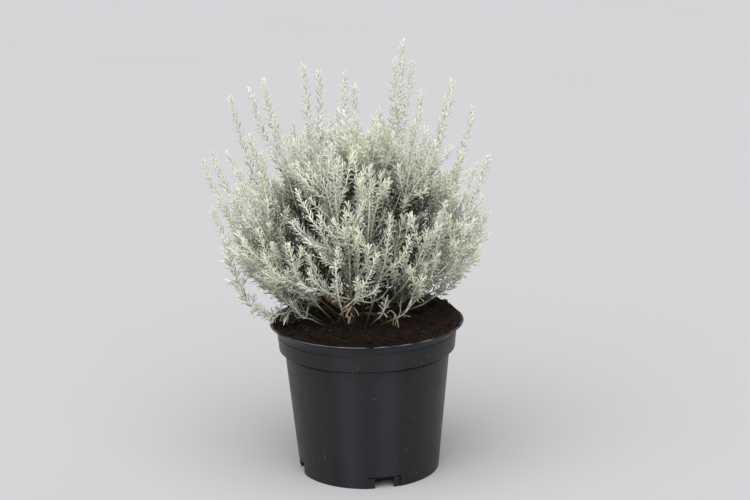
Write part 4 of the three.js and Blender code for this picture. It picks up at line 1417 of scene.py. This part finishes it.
# %% Fibres, fallen leaves and moss
def fibres(count):
    parts = []
    for start in scattered(count, 80):
        length, turn = rng.uniform(4, 15), rng.uniform(0, TURN)
        way = np.array([math.cos(turn), math.sin(turn), 0]) * length
        aside = np.array([-way[1], way[0], 0]) * rng.normal(0, 0.25)
        path = np.array([start, start + way * 0.5 + aside, start + way])
        path[:, 2] = loose_height(path[:, 0], path[:, 1]) + [0.2, rng.uniform(0.8, 2.4), rng.uniform(0, 1.2)]
        if np.hypot(*path[2, :2]) < 88:
            parts.append(twig(path, rng.uniform(0.15, 0.34), 0.1, 4, 8))
    return parts


def lying_blades(places, length, width, rise):
    """Leaves or moss that start at each place and point anywhere, up by the given angle."""
    count = len(places)
    turn, up = rng.uniform(0, TURN, count), np.radians(rng.normal(rise, 14, count))
    out = np.stack([np.cos(turn) * np.cos(up), np.sin(turn) * np.cos(up), np.sin(up)], axis=1)
    upper = unit(np.stack([-np.cos(turn) * np.sin(up), -np.sin(turn) * np.sin(up), np.cos(up)], axis=1))
    sizes = rng.uniform(0.7, 1.2, count)
    return blades(places, out, upper, length * sizes, width * sizes, rng.normal(0.1, 0.3, count))[:2]


MOSS_PATCHES = [(-80, 2, 110, 8), (-70, -8, 90, 9), (-62, 6, 60, 8), (19, -18, 50, 8), (24, -34, 30, 6)]


def moss_places():
    parts = []
    for middle_x, middle_y, count, size in MOSS_PATCHES:
        x, y = (rng.normal(0, size * 0.6, (count, 2)) + (middle_x, middle_y)).T
        parts.append(np.stack([x, y, loose_height(x, y) + 0.5], axis=1))
    return np.concatenate(parts)


fibre_parts = join(fibres(110))
fallen_parts = lying_blades(scattered(16, 84) + [0, 0, 0.9], 5.5, 1.0, 3)
moss_parts = lying_blades(moss_places(), 2.4, 0.8, 50)
print("points in the fibres:", len(fibre_parts[0]), "and in the moss:", len(moss_parts[0]))

# %% [markdown]
# ## Damp peat
# Damp peat is nearly black, with browner grains, reddish patches of bark and a few pale crumbs. It is
# darkest at the front, under the rim. A picture of real soil could be wrapped over it, but it would repeat,
# and blur close by. Noise in four sizes stays sharp at every distance. What lies on the peat is small, so
# each of those finishes is one colour in darker and paler patches.

# %% The dark peat
finish = Finish("dark peat", 0.95, Specular_IOR_Level=0.12)
grains = finish.spread(finish.noise(700, 6, 0.7), 0.35, 0.68)
grain = finish.blend(grains, (11, 9, 8), (48, 38, 31))
reddish = finish.blend(finish.spread(finish.noise(110, 3), 0.52, 0.74), grain, (50, 31, 24))
crumbly = finish.blend(finish.spread(finish.noise(240, 4, 0.7), 0.55, 0.72), reddish, (62, 54, 42))
# The soil is blended darker towards its front edge.
darker_front = finish.calculate("MULTIPLY", finish.spread(finish.axes()["Y"], -0.05, -0.084), 0.62)
dark_peat = finish.done(finish.blend(darker_front, crumbly, (5, 4, 4)), (1600, 6, 0.75), 0.0008, 1.0)
print(dark_peat.name, "has", len(finish.tree.nodes), "nodes")

# %% Lay the soil
bark_fibre = mottled_finish("bark fibre", (90, 3), (38, 23, 17), (78, 50, 36))
dry_leaf = mottled_finish("dry leaf", (120, 3), (70, 60, 44), (122, 110, 86))
moss = mottled_finish("moss", (260, 3), (34, 42, 14), (84, 94, 34), roughness=0.8, Sheen_Weight=0.2,
                      Sheen_Roughness=0.4)
place("soil", mesh_from(*join([ball, loose])), [dark_peat], "potting_soil", "potting_soil")
place("bark_fibres", mesh_from(*fibre_parts), [bark_fibre], "potting_soil")
place("fallen_leaves", mesh_from(*fallen_parts), [dry_leaf], "potting_soil")
place("moss_tufts", mesh_from(*moss_parts), [moss], "potting_soil")

# %% [markdown]
# ## The floor
# The plant stands on a plain pale sheet that is large enough to fill every view from above. Only a level
# view shows where it ends. It isn't part of the plant, so it is marked as stage. A curved backdrop would
# look the same in front and get in the way behind.

# %% Lay the floor
FLOOR_REACH = 15
finish = Finish("pale floor", 0.9)
finish.fill(finish.shader, Base_Color=finish.blend(finish.noise(1.5), (171, 171, 174), (175, 175, 178)))
corners = [(x * FLOOR_REACH, y * FLOOR_REACH, 0) for x, y in ((-1, -1), (1, -1), (1, 1), (-1, 1))]
floor_mesh = bpy.data.meshes.new("floor")
floor_mesh.from_pydata(corners, [], [(0, 1, 2, 3)])
floor_mesh.materials.append(finish.material)
floor = bpy.data.objects.new("floor", floor_mesh)
bpy.context.scene.collection.objects.link(floor)
floor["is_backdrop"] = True
print("floor:", 2 * FLOOR_REACH, "metres wide")

# %% [markdown]
# ## Light
# The light is a studio's. A very wide soft light high above lights the plant and the whole sheet alike, so
# it is a sun lamp with a wide angle rather than a lamp at one place. A soft box stands high on each side in
# front. They show only in shiny surfaces, as soft upright bands on the pot, and leave the shadows alone. A
# pale room all round fills the shadows.

# %% Hang the lights
LAMP_DISTANCE = 4.2
BOX_SIZE = 1.8


def hang(kind, azimuth, elevation, energy):
    """A lamp that faces the plant from an angle round it and an angle up."""
    light = bpy.data.lights.new("lamp", kind)
    light.energy = energy
    lamp = bpy.data.objects.new("lamp", light)
    around, up = math.radians(azimuth), math.radians(elevation)
    away = Vector((math.sin(around) * math.cos(up), -math.cos(around) * math.cos(up), math.sin(up)))
    lamp.location = Vector((0, 0, 0.2)) + away * LAMP_DISTANCE
    lamp.rotation_euler = away.to_track_quat("Z", "Y").to_euler()
    bpy.context.scene.collection.objects.link(lamp)
    return lamp


wide_light = hang("SUN", -10, 60, 4.2)
wide_light.data.angle = math.radians(80)
for azimuth, watts in ((-36, 24), (37, 20)):
    soft_box = hang("AREA", azimuth, 38, watts)
    soft_box.data.shape, soft_box.data.size = "SQUARE", BOX_SIZE
    soft_box.visible_diffuse = False
room = bpy.data.worlds.new("pale room")
bpy.context.scene.world = room
room.use_nodes = True
room.node_tree.nodes["Background"].inputs["Color"].default_value = seen(243, 243, 238)
room.node_tree.nodes["Background"].inputs["Strength"].default_value = 0.46
bpy.context.scene.view_settings.view_transform = "Standard"

# %% [markdown]
# ## Camera
# The camera stands a good metre and a half in front and looks down a little, with a long lens that keeps
# the pot's sides nearly upright. The photograph is turned by one degree, and so is the camera. It was fitted
# to the pot's rim and foot, so its place is given in numbers and not aimed at a point.

# %% Set up the camera
CAMERA_PLACE = (9.5, -1640, 630)
CAMERA_PITCH, CAMERA_ROLL = math.radians(14.04), math.radians(1.08)
LENS, SENSOR_WIDTH = 83.62, 36

camera = bpy.data.objects.new("camera", bpy.data.cameras.new("camera"))
camera.data.lens, camera.data.sensor_width = LENS, SENSOR_WIDTH
camera.data.clip_start, camera.data.clip_end = 0.05, 60
looking_down = Matrix.Rotation(math.pi / 2 - CAMERA_PITCH, 4, "X")
rolled = Matrix.Rotation(-CAMERA_ROLL, 4, "Z")
camera.matrix_world = Matrix.Translation(Vector(CAMERA_PLACE) * MM) @ looking_down @ rolled
bpy.context.scene.collection.objects.link(camera)
bpy.context.scene.camera = camera
print("camera at", [round(v, 3) for v in camera.location])

# %% [markdown]
# ## Compare the sizes
# How far each end of the dressed plant's box lies from the solids' box is printed, axis by axis.

# %% Write the sizes
dressed_box = [list(corner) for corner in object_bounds()]
for side, axis in enumerate("xyz"):
    lower = (dressed_box[0][side] - solid_box[0][side]) / MM
    upper = (dressed_box[1][side] - solid_box[1][side]) / MM
    print(f"{axis}: the dressed plant's ends lie {lower:+.1f} and {upper:+.1f} mm from the solids'")
